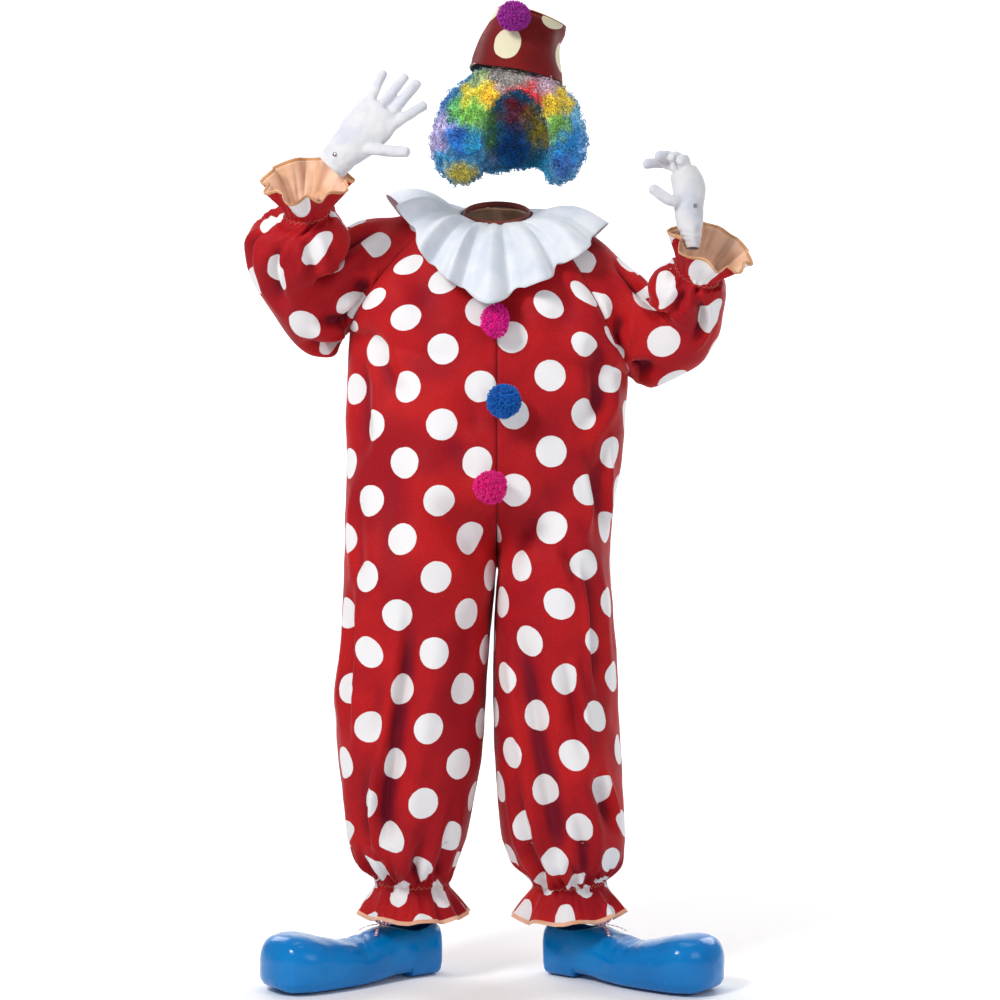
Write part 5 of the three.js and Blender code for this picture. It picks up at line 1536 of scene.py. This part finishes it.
def hat():
    red = dotted_material("hat_cloth", HAT_RED, (0.13, 0.004, 0.005, 1), DOT_CREAM,
                          HAT_PITCH * MM, 28 * MM, seams=False)
    reverse = plain_cloth_material("hat_reverse", PEACH, (0.6, 0.36, 0.22, 1))
    turn = np.linspace(-math.pi / 2, 3 * math.pi / 2, HAT_COLUMNS + 1) + math.pi
    rings = [hat_ring(ring, turn) for ring in HAT_RINGS[::-1]]
    grid = spline_rows(rings, [10, 12, 12, 12])
    up = np.linspace(1, 0, len(grid))[:, None]
    degrees = np.degrees(turn)[None]
    normals = grid_normals(grid, False, -1)
    depth = 1.5 * soft_noise(np.stack(np.broadcast_arrays(degrees, 120 * up), axis=-1), 70, 5)
    for dent in HAT_DENTS:
        gap = (degrees - dent["turn"] + 180) % 360 - 180
        depth = depth - dent["depth"] * np.exp(-(gap / dent["wide"])**2
                                               - ((up - dent["up"]) / dent["tall"])**2)
    close = ease(np.minimum(np.arange(HAT_COLUMNS + 1), np.arange(HAT_COLUMNS + 1)[::-1]) / 8)
    depth = mixed((depth[:, :1] + depth[:, -1:]) / 2, depth, close[None])
    crown = np.exp(-((1 - up) / 0.05)**2)
    grid = grid + normals * (depth * (1 - crown))[..., None]
    brim = np.clip(1 - up / 0.10, 0, 1) ** 2
    flare = np.exp(-(((degrees - 205 + 180) % 360 - 180) / 22)**2)
    grid = grid + normals * (9 * brim * flare)[..., None] + np.array([0, 0, 6]) * (brim * flare)[..., None]
    around = row_lengths(grid)
    front = HAT_COLUMNS // 2
    u = around - around[:, front:front + 1]
    v = np.broadcast_to(up, u.shape) * 128
    uv = np.stack([u, v], axis=-1) - HAT_DOT
    side = cloth_from("hat_side_cloth", grid, uv, -1, closed=True)
    finish_piece(side, ["hat_side"], [red, reverse])
    edge = grid[0]
    centre = edge[:-1].mean(axis=0)
    rows = []
    for shrink, rise in ((1.0, 0.6), (0.96, 2.6), (0.86, 4), (0.7, 3), (0.5, 0.5), (0.3, -3), (0.12, -5),
                         (0.01, -5.5)):
        rows.append(centre + (edge - centre) * shrink + np.array([0, 0, rise]))
    top = spline_rows(rows[::-1], [3] * 7)
    top = top + np.array([0, 0, 1]) * (2.2 * soft_noise(top[..., :2], 70, 9))[..., None] * 0.5
    uv = top[..., :2] - (60, 0)
    lid = cloth_from("hat_top_cloth", top, uv, 1, closed=True)
    finish_piece(lid, ["hat_top"], [red, reverse])
    near = grid[3] + normals[3] * 0.3
    stitched = []
    for k in range(0, HAT_COLUMNS, 2):
        stitched.append((near[k], mixed(near[k], near[k + 1], 0.9)))
    thread = bpy.data.materials["stitch_thread"]
    seam = stitches("hat_stitches", stitched, 0.35, thread)
    finish_piece(seam, [], [thread])
    return side, lid


# ------------------------------------------------------------------ wig

# Coloured patches of the wig: a place (x, y, height), the patch's reach and its colour.
WIG_PATCHES = [
    {"at": (-103, -30, 222), "reach": 44, "colour": (0.01, 0.16, 0.50)},
    {"at": (-124, 0, 140), "reach": 40, "colour": (0.42, 0.36, 0.62)},
    {"at": (-112, -20, 172), "reach": 30, "colour": (0.44, 0.40, 0.66)},
    {"at": (-70, -60, 150), "reach": 34, "colour": (0.01, 0.14, 0.50)},
    {"at": (-48, -80, 140), "reach": 26, "colour": (0.02, 0.36, 0.62)},
    {"at": (-72, -50, 206), "reach": 30, "colour": (0.12, 0.42, 0.12)},
    {"at": (-40, -70, 196), "reach": 34, "colour": (0.20, 0.50, 0.08)},
    {"at": (-40, -60, 250), "reach": 34, "colour": (0.75, 0.62, 0.03)},
    {"at": (0, -70, 224), "reach": 30, "colour": (0.80, 0.52, 0.02)},
    {"at": (20, -60, 250), "reach": 28, "colour": (0.60, 0.42, 0.48)},
    {"at": (66, -80, 232), "reach": 36, "colour": (0.66, 0.02, 0.03)},
    {"at": (108, -50, 256), "reach": 30, "colour": (0.62, 0.45, 0.55)},
    {"at": (138, -30, 226), "reach": 30, "colour": (0.78, 0.60, 0.04)},
    {"at": (108, -70, 200), "reach": 26, "colour": (0.78, 0.56, 0.03)},
    {"at": (124, -60, 168), "reach": 30, "colour": (0.22, 0.50, 0.10)},
    {"at": (166, -10, 190), "reach": 30, "colour": (0.18, 0.50, 0.70)},
    {"at": (156, -30, 132), "reach": 40, "colour": (0.01, 0.26, 0.62)},
    {"at": (134, -40, 92), "reach": 30, "colour": (0.03, 0.17, 0.52)},
    {"at": (-104, -10, 98), "reach": 28, "colour": (0.04, 0.32, 0.58)},
    {"at": (20, -60, 284), "reach": 44, "colour": (0.34, 0.32, 0.30)},
    {"at": (-40, -40, 276), "reach": 26, "colour": (0.30, 0.42, 0.20)},
    {"at": (-74, -20, 68), "reach": 34, "colour": (0.72, 0.62, 0.10)},
    {"at": (-60, 110, 200), "reach": 60, "colour": (0.20, 0.50, 0.08)},
    {"at": (40, 130, 240), "reach": 55, "colour": (0.66, 0.03, 0.04)},
    {"at": (120, 110, 190), "reach": 55, "colour": (0.78, 0.58, 0.03)},
    {"at": (30, 130, 150), "reach": 50, "colour": (0.01, 0.16, 0.52)},
    {"at": (-70, 110, 110), "reach": 50, "colour": (0.42, 0.36, 0.62)},
    {"at": (130, 90, 110), "reach": 50, "colour": (0.02, 0.36, 0.62)},
]


def wig_material():
    material, tree, shader = new_material("wig_hair", 0.6, Sheen_Weight=0.25, Specular_IOR_Level=0.3)
    place = node_of(tree, "ShaderNodeTexCoord").outputs["Object"]
    wobble = node_of(tree, "ShaderNodeTexNoise", Vector=place, Scale=28.0, Detail=3.0)
    shift = vector_node(tree, "SCALE", vector_node(tree, "SUBTRACT", wobble.outputs["Color"],
                                                   (0.5, 0.5, 0.5)).outputs[0])
    shift.inputs["Scale"].default_value = 0.07
    moved = vector_node(tree, "ADD", place, shift.outputs[0]).outputs[0]
    colour = node_of(tree, "ShaderNodeRGB").outputs[0]
    colour.node.outputs[0].default_value = (0.05, 0.30, 0.55, 1)
    for patch in WIG_PATCHES:
        centre = tuple(v * MM for v in patch["at"])
        away = vector_node(tree, "DISTANCE", moved, centre).outputs["Value"]
        reach = patch["reach"] * MM
        colour = mix_colour(tree, smooth_range(tree, away, reach * 0.7, reach * 1.5, 1.0, 0.0),
                            colour, (*patch["colour"], 1))
    speck = node_of(tree, "ShaderNodeTexNoise", Vector=place, Scale=330.0, Detail=1.0)
    tone = smooth_range(tree, speck.outputs[0], 0.32, 0.68, 0.45, 1.75)
    grey = node_of(tree, "ShaderNodeCombineXYZ", X=tone, Y=tone, Z=tone)
    toned = mix_colour(tree, 1.0, colour, grey.outputs[0], "MULTIPLY")
    tree.links.new(toned, shader.inputs["Base Color"])
    return material


CURL = {"density": 15500.0, "size": 4.6, "radius": 0.8}  # curls per square metre, millimetres
WIG_MIDDLE = 0.03
WIG_VOXEL = 0.0065


def wig():
    """A lumpy base cap with the hair's coloured patches, grown all over with curls."""
    hair = wig_material()
    base = bpy.data.objects["wig"]
    copy = bpy.data.objects.new("wig_base", base.data.copy())
    bpy.context.scene.collection.objects.link(copy)
    weld(copy, 1e-5)
    remesh = copy.modifiers.new("even", "REMESH")
    remesh.mode = "VOXEL"
    remesh.voxel_size = WIG_VOXEL
    soften = copy.modifiers.new("soft", "SMOOTH")
    soften.iterations = 3
    apply_modifiers(copy)
    points = np.array([v.co for v in copy.data.vertices]) / MM
    normals = np.array([v.normal for v in copy.data.vertices])
    lumps = 0.6 * soft_noise(points[:, [0, 2]] + points[:, [1, 1]] * (1, -1), 34, 4)
    for vertex, point, normal, lump in zip(copy.data.vertices, points, normals, lumps):
        under_hat = float(ease((point[2] - 236) / 34)) * float(ease((96 - abs(point[0] - 40)) / 30))
        vertex.co = Vector((point + normal * (3.5 * lump - 7 + 15 * under_hat)) * MM)
    for name, keep in (("wig_right_curls", -1), ("wig_left_curls", 1)):
        half = copy.copy()
        half.data = copy.data.copy()
        half.name = name
        bpy.context.scene.collection.objects.link(half)
        bm = bmesh.new()
        bm.from_mesh(half.data)
        away = [f for f in bm.faces if (f.calc_center_median().x - WIG_MIDDLE) * keep < 0]
        bmesh.ops.delete(bm, geom=away, context="FACES")
        bm.to_mesh(half.data)
        bm.free()
        grown_by(half, CURLS, Density=CURL["density"], Size=CURL["size"] * MM,
                 Radius=CURL["radius"] * MM, Seed=5 + keep, Material=hair)
        finish_piece(half, ["wig"], [hair])
    copy.name = "wig_cap"
    copy.data.shade_smooth()
    finish_piece(copy, ["wig"], [hair])


# ------------------------------------------------------------------ gloves

GLOVES = {
    "right": {
        "palm": [
            {"at": (-317, -226, 62), "width": 33, "thick": 26, "across": (0.72, 0, -0.7)},
            {"at": (-296, -232, 84), "width": 33, "thick": 25, "across": (0.72, 0, -0.7)},
            {"at": (-262, -238, 118), "width": 43, "thick": 22, "across": (0.72, 0, -0.7)},
            {"at": (-232, -243, 150), "width": 46, "thick": 18, "across": (0.72, 0, -0.7)},
            {"at": (-212, -246, 172), "width": 40, "thick": 13, "across": (0.72, 0, -0.7)},
        ],
        "fingers": [
            {"route": [(-246, -242, 176), (-234, -245, 198), (-216, -247, 236)], "radius": 10},
            {"route": [(-226, -244, 164), (-208, -247, 188), (-176, -250, 228)], "radius": 11},
            {"route": [(-212, -243, 150), (-192, -247, 170), (-152, -252, 216)], "radius": 11},
            {"route": [(-204, -241, 132), (-192, -246, 142), (-140, -252, 174)], "radius": 11},
            {"route": [(-262, -240, 100), (-230, -250, 92), (-172, -258, 86)], "radius": 12},
        ],
        "mouth": (-317, -226, 62), "up": (0.68, -0.19, 0.71), "snap": (-306, -257, 82),
        "snap_faces": (-0.35, -0.93, 0.1),
    },
    "left": {
        "palm": [
            {"at": (372, -232, -96), "width": 12, "thick": 26, "across": (1, 0, 0.15)},
            {"at": (366, -232, -40), "width": 26, "thick": 30, "across": (1, 0, 0.15)},
            {"at": (364, -234, -12), "width": 28, "thick": 30, "across": (1, 0, 0.15)},
            {"at": (364, -236, 22), "width": 32, "thick": 27, "across": (1, 0, 0.15)},
            {"at": (352, -238, 56), "width": 26, "thick": 25, "across": (1, 0, 0.15)},
        ],
        "fingers": [
            {"route": [(350, -214, 58), (322, -196, 74), (286, -204, 72)], "radius": 11},
            {"route": [(352, -228, 62), (334, -214, 84), (308, -222, 84)], "radius": 11},
            {"route": [(354, -242, 62), (344, -236, 80), (330, -246, 78)], "radius": 10.5},
            {"route": [(358, -252, 56), (354, -254, 74), (346, -262, 68)], "radius": 10},
            {"route": [(352, -246, -4), (326, -256, -4), (296, -254, 16)], "radius": 12},
        ],
        "mouth": (372, -232, -96), "up": (0, 0, 1), "snap": (374, -263, -16),
        "snap_faces": (0.2, -0.98, 0),
    },
}


def limb_mesh(name, places, sides=20):
    """A closed round limb through places with a half width and half thickness each."""
    at = np.array([row["at"] for row in places], float)
    size = np.array([(row["width"], row["thick"]) for row in places], float)
    steps = [5] * (len(places) - 1)
    values = spline_rows(np.concatenate([at, size], axis=1), steps)
    centres, sizes = values[:, :3], values[:, 3:]
    ahead = unit(np.gradient(centres, axis=0))
    flat = np.broadcast_to(np.array(places[0]["across"], float), centres.shape)
    across = unit(flat - ahead * np.sum(flat * ahead, axis=1, keepdims=True))
    through_ = np.cross(ahead, across)
    turn = np.arange(sides) * 2 * math.pi / sides
    rings = (centres[:, None] + np.cos(turn)[None, :, None] * across[:, None] * sizes[:, None, :1]
             + np.sin(turn)[None, :, None] * through_[:, None] * sizes[:, None, 1:])
    obj = mesh_from(name, rings.reshape(-1, 3), loft_faces(len(rings), sides))
    outward(obj)
    return obj


def finger_mesh(name, finger):
    route, radius = np.array(finger["route"], float), finger["radius"]
    ahead = unit(route[-1] - route[-2])
    rows = [{"at": p, "width": radius * w, "thick": radius * w, "across": (1, 0, -0.3)}
            for p, w in zip(route, (1.0, 0.96, 0.9))]
    for reach, w in ((0.35, 0.8), (0.62, 0.55), (0.76, 0.2)):
        rows.append({"at": route[-1] + ahead * radius * reach, "width": radius * w,
                     "thick": radius * w, "across": (1, 0, -0.3)})
    return limb_mesh(name, rows, 16)


def glove_material():
    material, tree, shader = new_material("glove_knit", 0.75, Sheen_Weight=0.35,
                                          Specular_IOR_Level=0.25)
    place = node_of(tree, "ShaderNodeTexCoord").outputs["Object"]
    cloud = node_of(tree, "ShaderNodeTexNoise", Vector=place, Scale=25.0, Detail=3.0)
    colour = mix_colour(tree, smooth_range(tree, cloud.outputs[0], 0.35, 0.7),
                        (0.72, 0.72, 0.75, 1), (0.60, 0.62, 0.70, 1))
    tree.links.new(colour, shader.inputs["Base Color"])
    rib = node_of(tree, "ShaderNodeTexWave", Vector=place, Scale=150.0, Distortion=1.5)
    fold = node_of(tree, "ShaderNodeTexNoise", Vector=place, Scale=60.0, Detail=2.0)
    height = math_node(tree, "ADD", math_node(tree, "MULTIPLY", rib.outputs["Fac"], 0.25),
                       fold.outputs[0])
    bump_to(tree, shader, height, 0.0030, 0.7)
    return material


GLOVE_VOXEL = 0.0026


def glove(side, knit, metal):
    rows = GLOVES[side]
    hand = limb_mesh(f"glove_{side}_knit", rows["palm"], 28)
    join_objects(hand, *[finger_mesh(f"finger_{side}_{k}", finger)
                         for k, finger in enumerate(rows["fingers"])])
    merge = hand.modifiers.new("one", "REMESH")
    merge.mode = "VOXEL"
    merge.voxel_size = GLOVE_VOXEL
    smooth = hand.modifiers.new("soft", "SMOOTH")
    smooth.iterations = 5
    apply_modifiers(hand)
    up = unit(np.array(rows["up"], float))
    bm = bmesh.new()
    bm.from_mesh(hand.data)
    start = Vector(rows["mouth"]) * MM + Vector(up) * 0.003
    bmesh.ops.bisect_plane(bm, geom=bm.verts[:] + bm.edges[:] + bm.faces[:], plane_co=start,
                           plane_no=Vector(-up), clear_outer=True)
    bm.to_mesh(hand.data)
    bm.free()
    points = np.array([v.co for v in hand.data.vertices]) / MM
    normals = np.array([v.normal for v in hand.data.vertices])
    along = (points - np.array(rows["mouth"])) @ up
    folds = np.sin(along / 2.1 + 2.2 * soft_noise(points[:, [0, 2]], 42, 8))
    wrist = ease(1 - np.abs(along - 26) / 30)
    move = 0.9 * folds * wrist + 0.5 * soft_noise(points[:, [0, 2]] + points[:, 1:2], 26, 12)
    for vertex, normal, height in zip(hand.data.vertices, normals, move):
        vertex.co += Vector(normal * height * MM)
    wall = hand.modifiers.new("wall", "SOLIDIFY")
    wall.thickness = 1.2 * MM
    wall.offset = -1
    apply_modifiers(hand)
    snap = ball_mesh("snap", rows["snap"], (4.2, 4.2, 4.2), 3)
    way = unit(np.array(rows["snap_faces"], float))
    for vertex in snap.data.vertices:
        rel = np.array(vertex.co) / MM - np.array(rows["snap"])
        vertex.co = Vector((np.array(rows["snap"]) + rel - way * (rel @ way) * 0.65) * MM)
    hand.data.materials.append(knit)
    snap.data.materials.append(metal)
    join_objects(hand, snap)
    hand.data.shade_smooth()
    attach(hand, "root")
    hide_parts(f"glove_{side}")


def gloves():
    knit = glove_material()
    metal, tree, shader = new_material("snap_metal", 0.35, Metallic=1.0)
    speck = node_of(tree, "ShaderNodeTexNoise", Scale=300.0)
    tree.links.new(mix_colour(tree, speck.outputs[0], (0.16, 0.16, 0.17, 1), (0.35, 0.35, 0.36, 1)),
                   shader.inputs["Base Color"])
    for side in SIDES:
        glove(side, knit, metal)


# ------------------------------------------------------------------ shoes and laces

FLOOR = -1530
SHOE_SECTIONS = [
    {"along": 0, "half": 30, "top": 98, "under": 8},
    {"along": 10, "half": 42, "top": 103, "under": 0},
    {"along": 50, "half": 50, "top": 107, "under": 0},
    {"along": 78, "half": 51, "top": 107, "under": 0},
    {"along": 82, "half": 51, "top": 106, "under": 9},
    {"along": 120, "half": 54, "top": 102, "under": 8},
    {"along": 160, "half": 62, "top": 90, "under": 3},
    {"along": 205, "half": 70, "top": 84, "under": 0},
    {"along": 260, "half": 76, "top": 94, "under": 0},
    {"along": 320, "half": 78, "top": 110, "under": 0},
    {"along": 360, "half": 66, "top": 108, "under": 3},
    {"along": 382, "half": 40, "top": 88, "under": 14},
    {"along": 389, "half": 16, "top": 64, "under": 30},
]
SHOES = {
    "right": {"heel": (-128, 96), "direction": (-0.822, -0.569)},
    "left": {"heel": (110, 92), "direction": (0.818, -0.575)},
}
SHOE_COLUMNS = 64
BOW_PLACE = (128, 0, 104)
FREE_END = [(3, 7, 2.4), (9, 10, 2), (18, 17, -0.5), (26, 26, -5), (33, 33, -11)]
LOOP = [(0, 0, 4), (4, 16, 10), (-2, 30, 12), (-10, 24, 9), (-4, 10, 5)]
LACE_WIDTH = 5


def shoe_place(points, side):
    """Turns points from the shoe's own place to where it stands."""
    points = np.asarray(points, float)
    heel, (c, s) = SHOES[side]["heel"], SHOES[side]["direction"]
    size = math.hypot(c, s)
    c, s = c / size, s / size
    x, y, z = points[..., 0], points[..., 1], points[..., 2]
    return np.stack([heel[0] + c * x - s * y, heel[1] + s * x + c * y, FLOOR + z], axis=-1)


def vinyl_material():
    material, tree, shader = new_material("blue_vinyl", 0.3, Coat_Weight=0.1, Coat_Roughness=0.12,
                                          Specular_IOR_Level=0.25)
    place = node_of(tree, "ShaderNodeTexCoord").outputs["Object"]
    cloud = node_of(tree, "ShaderNodeTexNoise", Vector=place, Scale=9.0, Detail=3.0)
    tree.links.new(mix_colour(tree, smooth_range(tree, cloud.outputs[0], 0.3, 0.7),
                              (0.0, 0.20, 0.56, 1), (0.0, 0.16, 0.48, 1)), shader.inputs["Base Color"])
    scuffs = node_of(tree, "ShaderNodeTexNoise", Vector=place, Scale=45.0, Detail=5.0)
    tree.links.new(smooth_range(tree, scuffs.outputs[0], 0.35, 0.75, 0.14, 0.30),
                   shader.inputs["Roughness"])
    ripple = node_of(tree, "ShaderNodeTexNoise", Vector=place, Scale=22.0, Detail=2.0)
    bump_to(tree, shader, ripple.outputs[0], 0.004, 0.35)
    return material


def shoe(side, vinyl):
    table = {key: [row[key] for row in SHOE_SECTIONS] for key in ("along", "half", "top", "under")}
    stops = np.concatenate([np.linspace(0, 76, 22), [78, 79, 80, 81, 82], np.linspace(86, 389, 76)])
    half = table_value(SHOE_SECTIONS, "along", "half", stops)
    top = table_value(SHOE_SECTIONS, "along", "top", stops)
    under = np.interp(stops, table["along"], table["under"])
    turn = np.arange(SHOE_COLUMNS) * 2 * math.pi / SHOE_COLUMNS
    lift = np.sin(turn)
    power = np.where(lift < 0, 0.45, 0.75)
    across = np.sign(np.cos(turn)) * np.abs(np.cos(turn)) ** power
    up = np.sign(lift) * np.abs(lift) ** power
    middle, reach = (top + under) / 2, (top - under) / 2
    x = np.broadcast_to(stops[:, None], (len(stops), SHOE_COLUMNS))
    rings = np.stack([x, half[:, None] * across, middle[:, None] + reach[:, None] * up], axis=-1)
    out = unit(np.stack([np.zeros_like(x), np.broadcast_to(np.cos(turn), x.shape),
                         np.broadcast_to(lift, x.shape)], axis=-1))
    crease = np.zeros(x.shape)
    for place, lean, depth in ((168, 0.25, 2.6), (186, 0.1, 3.2), (203, -0.1, 2.6), (219, -0.3, 1.8)):
        line = place + lean * rings[..., 1] + 0.15 * (90 - rings[..., 2])
        crease -= depth * np.exp(-((x - line) / 4.5)**2) * np.clip(up[None], 0, 1) ** 1.5
    soft = 1.2 * soft_noise(rings[..., [0, 2]] + 0.6 * rings[..., [1, 1]], 80, 31)
    high = np.clip((rings[..., 2] - 14) / 20, 0, 1)
    welt = -1.6 * np.exp(-((rings[..., 2] - 17) / 2.2)**2) * (np.abs(across[None]) > 0.3)
    rings = rings + out * ((crease + soft * high) + welt)[..., None]
    obj = mesh_from(f"shoe_{side}_vinyl", shoe_place(rings, side).reshape(-1, 3),
                    loft_faces(len(stops), SHOE_COLUMNS))
    outward(obj)
    angle = np.linspace(0, 2 * math.pi, 48, endpoint=False)
    bore = [np.stack([64 + 1.15 * r * np.cos(angle), 0.86 * r * np.sin(angle), np.full(48, z)], axis=-1)
            for r, z in ((40, 55), (44, 85), (46, 100), (50, 140))]
    cutter = mesh_from("mouth", shoe_place(np.array(bore), side).reshape(-1, 3), loft_faces(4, 48))
    outward(cutter)
    inside = obj.modifiers.new("wall", "SOLIDIFY")
    inside.thickness = 3 * MM
    inside.offset = -1
    cut = obj.modifiers.new("mouth", "BOOLEAN")
    cut.operation = "DIFFERENCE"
    cut.solver = "EXACT"
    cut.object = cutter
    apply_modifiers(obj)
    bpy.data.objects.remove(cutter)
    obj.data.shade_smooth()
    finish_piece(obj, [f"shoe_{side}"], [vinyl])
    return obj


def lace_material():
    material, tree, shader = new_material("lace_ribbon", 0.6, Sheen_Weight=0.2)
    flat = node_of(tree, "ShaderNodeUVMap").outputs[0]
    parts = node_of(tree, "ShaderNodeSeparateXYZ", Vector=flat)
    stripe = math_node(tree, "SINE", math_node(tree, "MULTIPLY", parts.outputs[0], 700.0))
    colour = mix_colour(tree, smooth_range(tree, stripe, -0.2, 0.2), (0.82, 0.80, 0.84, 1),
                        (0.72, 0.06, 0.22, 1))
    tree.links.new(colour, shader.inputs["Base Color"])
    return material


def laces(side, ribbon):
    """The bow with its knot, and its two free ends."""
    bows = []
    for reach in (1, -1):
        route = np.array(LOOP, float) * (1, reach, 1) + BOW_PLACE
        closed = through(np.vstack([route, route[:1]]), 40)[:-1]
        wide = np.tile((0.2, 0.0, 1.0), (len(closed), 1))
        bows.append(band(f"loop_{side}_{reach}", shoe_place(closed, side), wide, 3.0, 0.8, True, 8))
    knot = ball_mesh(f"knot_{side}", shoe_place(np.array(BOW_PLACE) + (0, 0, 4), side), (4.6, 4.4, 3.6), 3)
    bow = join_objects(bows[0], bows[1], knot)
    bow.name = f"bow_{side}_ribbon"
    finish_piece(bow, [f"bow_{side}"], [ribbon])
    for k, reach in enumerate((1, -1)):
        route = through(np.array(FREE_END, float) * (1, reach, 1) + BOW_PLACE, 24)
        placed = shoe_place(route, side)
        wide = unit(np.gradient(route, axis=0))[:, [1, 0, 2]] * (-1, 1, 0)
        turned = shoe_place(route + wide, side) - placed
        end = band(f"lace_end_{side}_{k + 1}_ribbon", placed, turned, LACE_WIDTH / 2, 0.8, False, 8)
        finish_piece(end, [f"lace_end_{side}_{k + 1}"], [ribbon])


def footwear():
    vinyl, ribbon = vinyl_material(), lace_material()
    for side in SIDES:
        shoe(side, vinyl)
        laces(side, ribbon)


# ------------------------------------------------------------------ the whole costume


studio()
footwear()
SHEETS, CLOTHS = jumpsuit_pieces()
TRIMS = trims(SHEETS)
RUFF_PIECES = ruff()
pompoms()
HAT_PIECES = hat()
wig()
gloves()
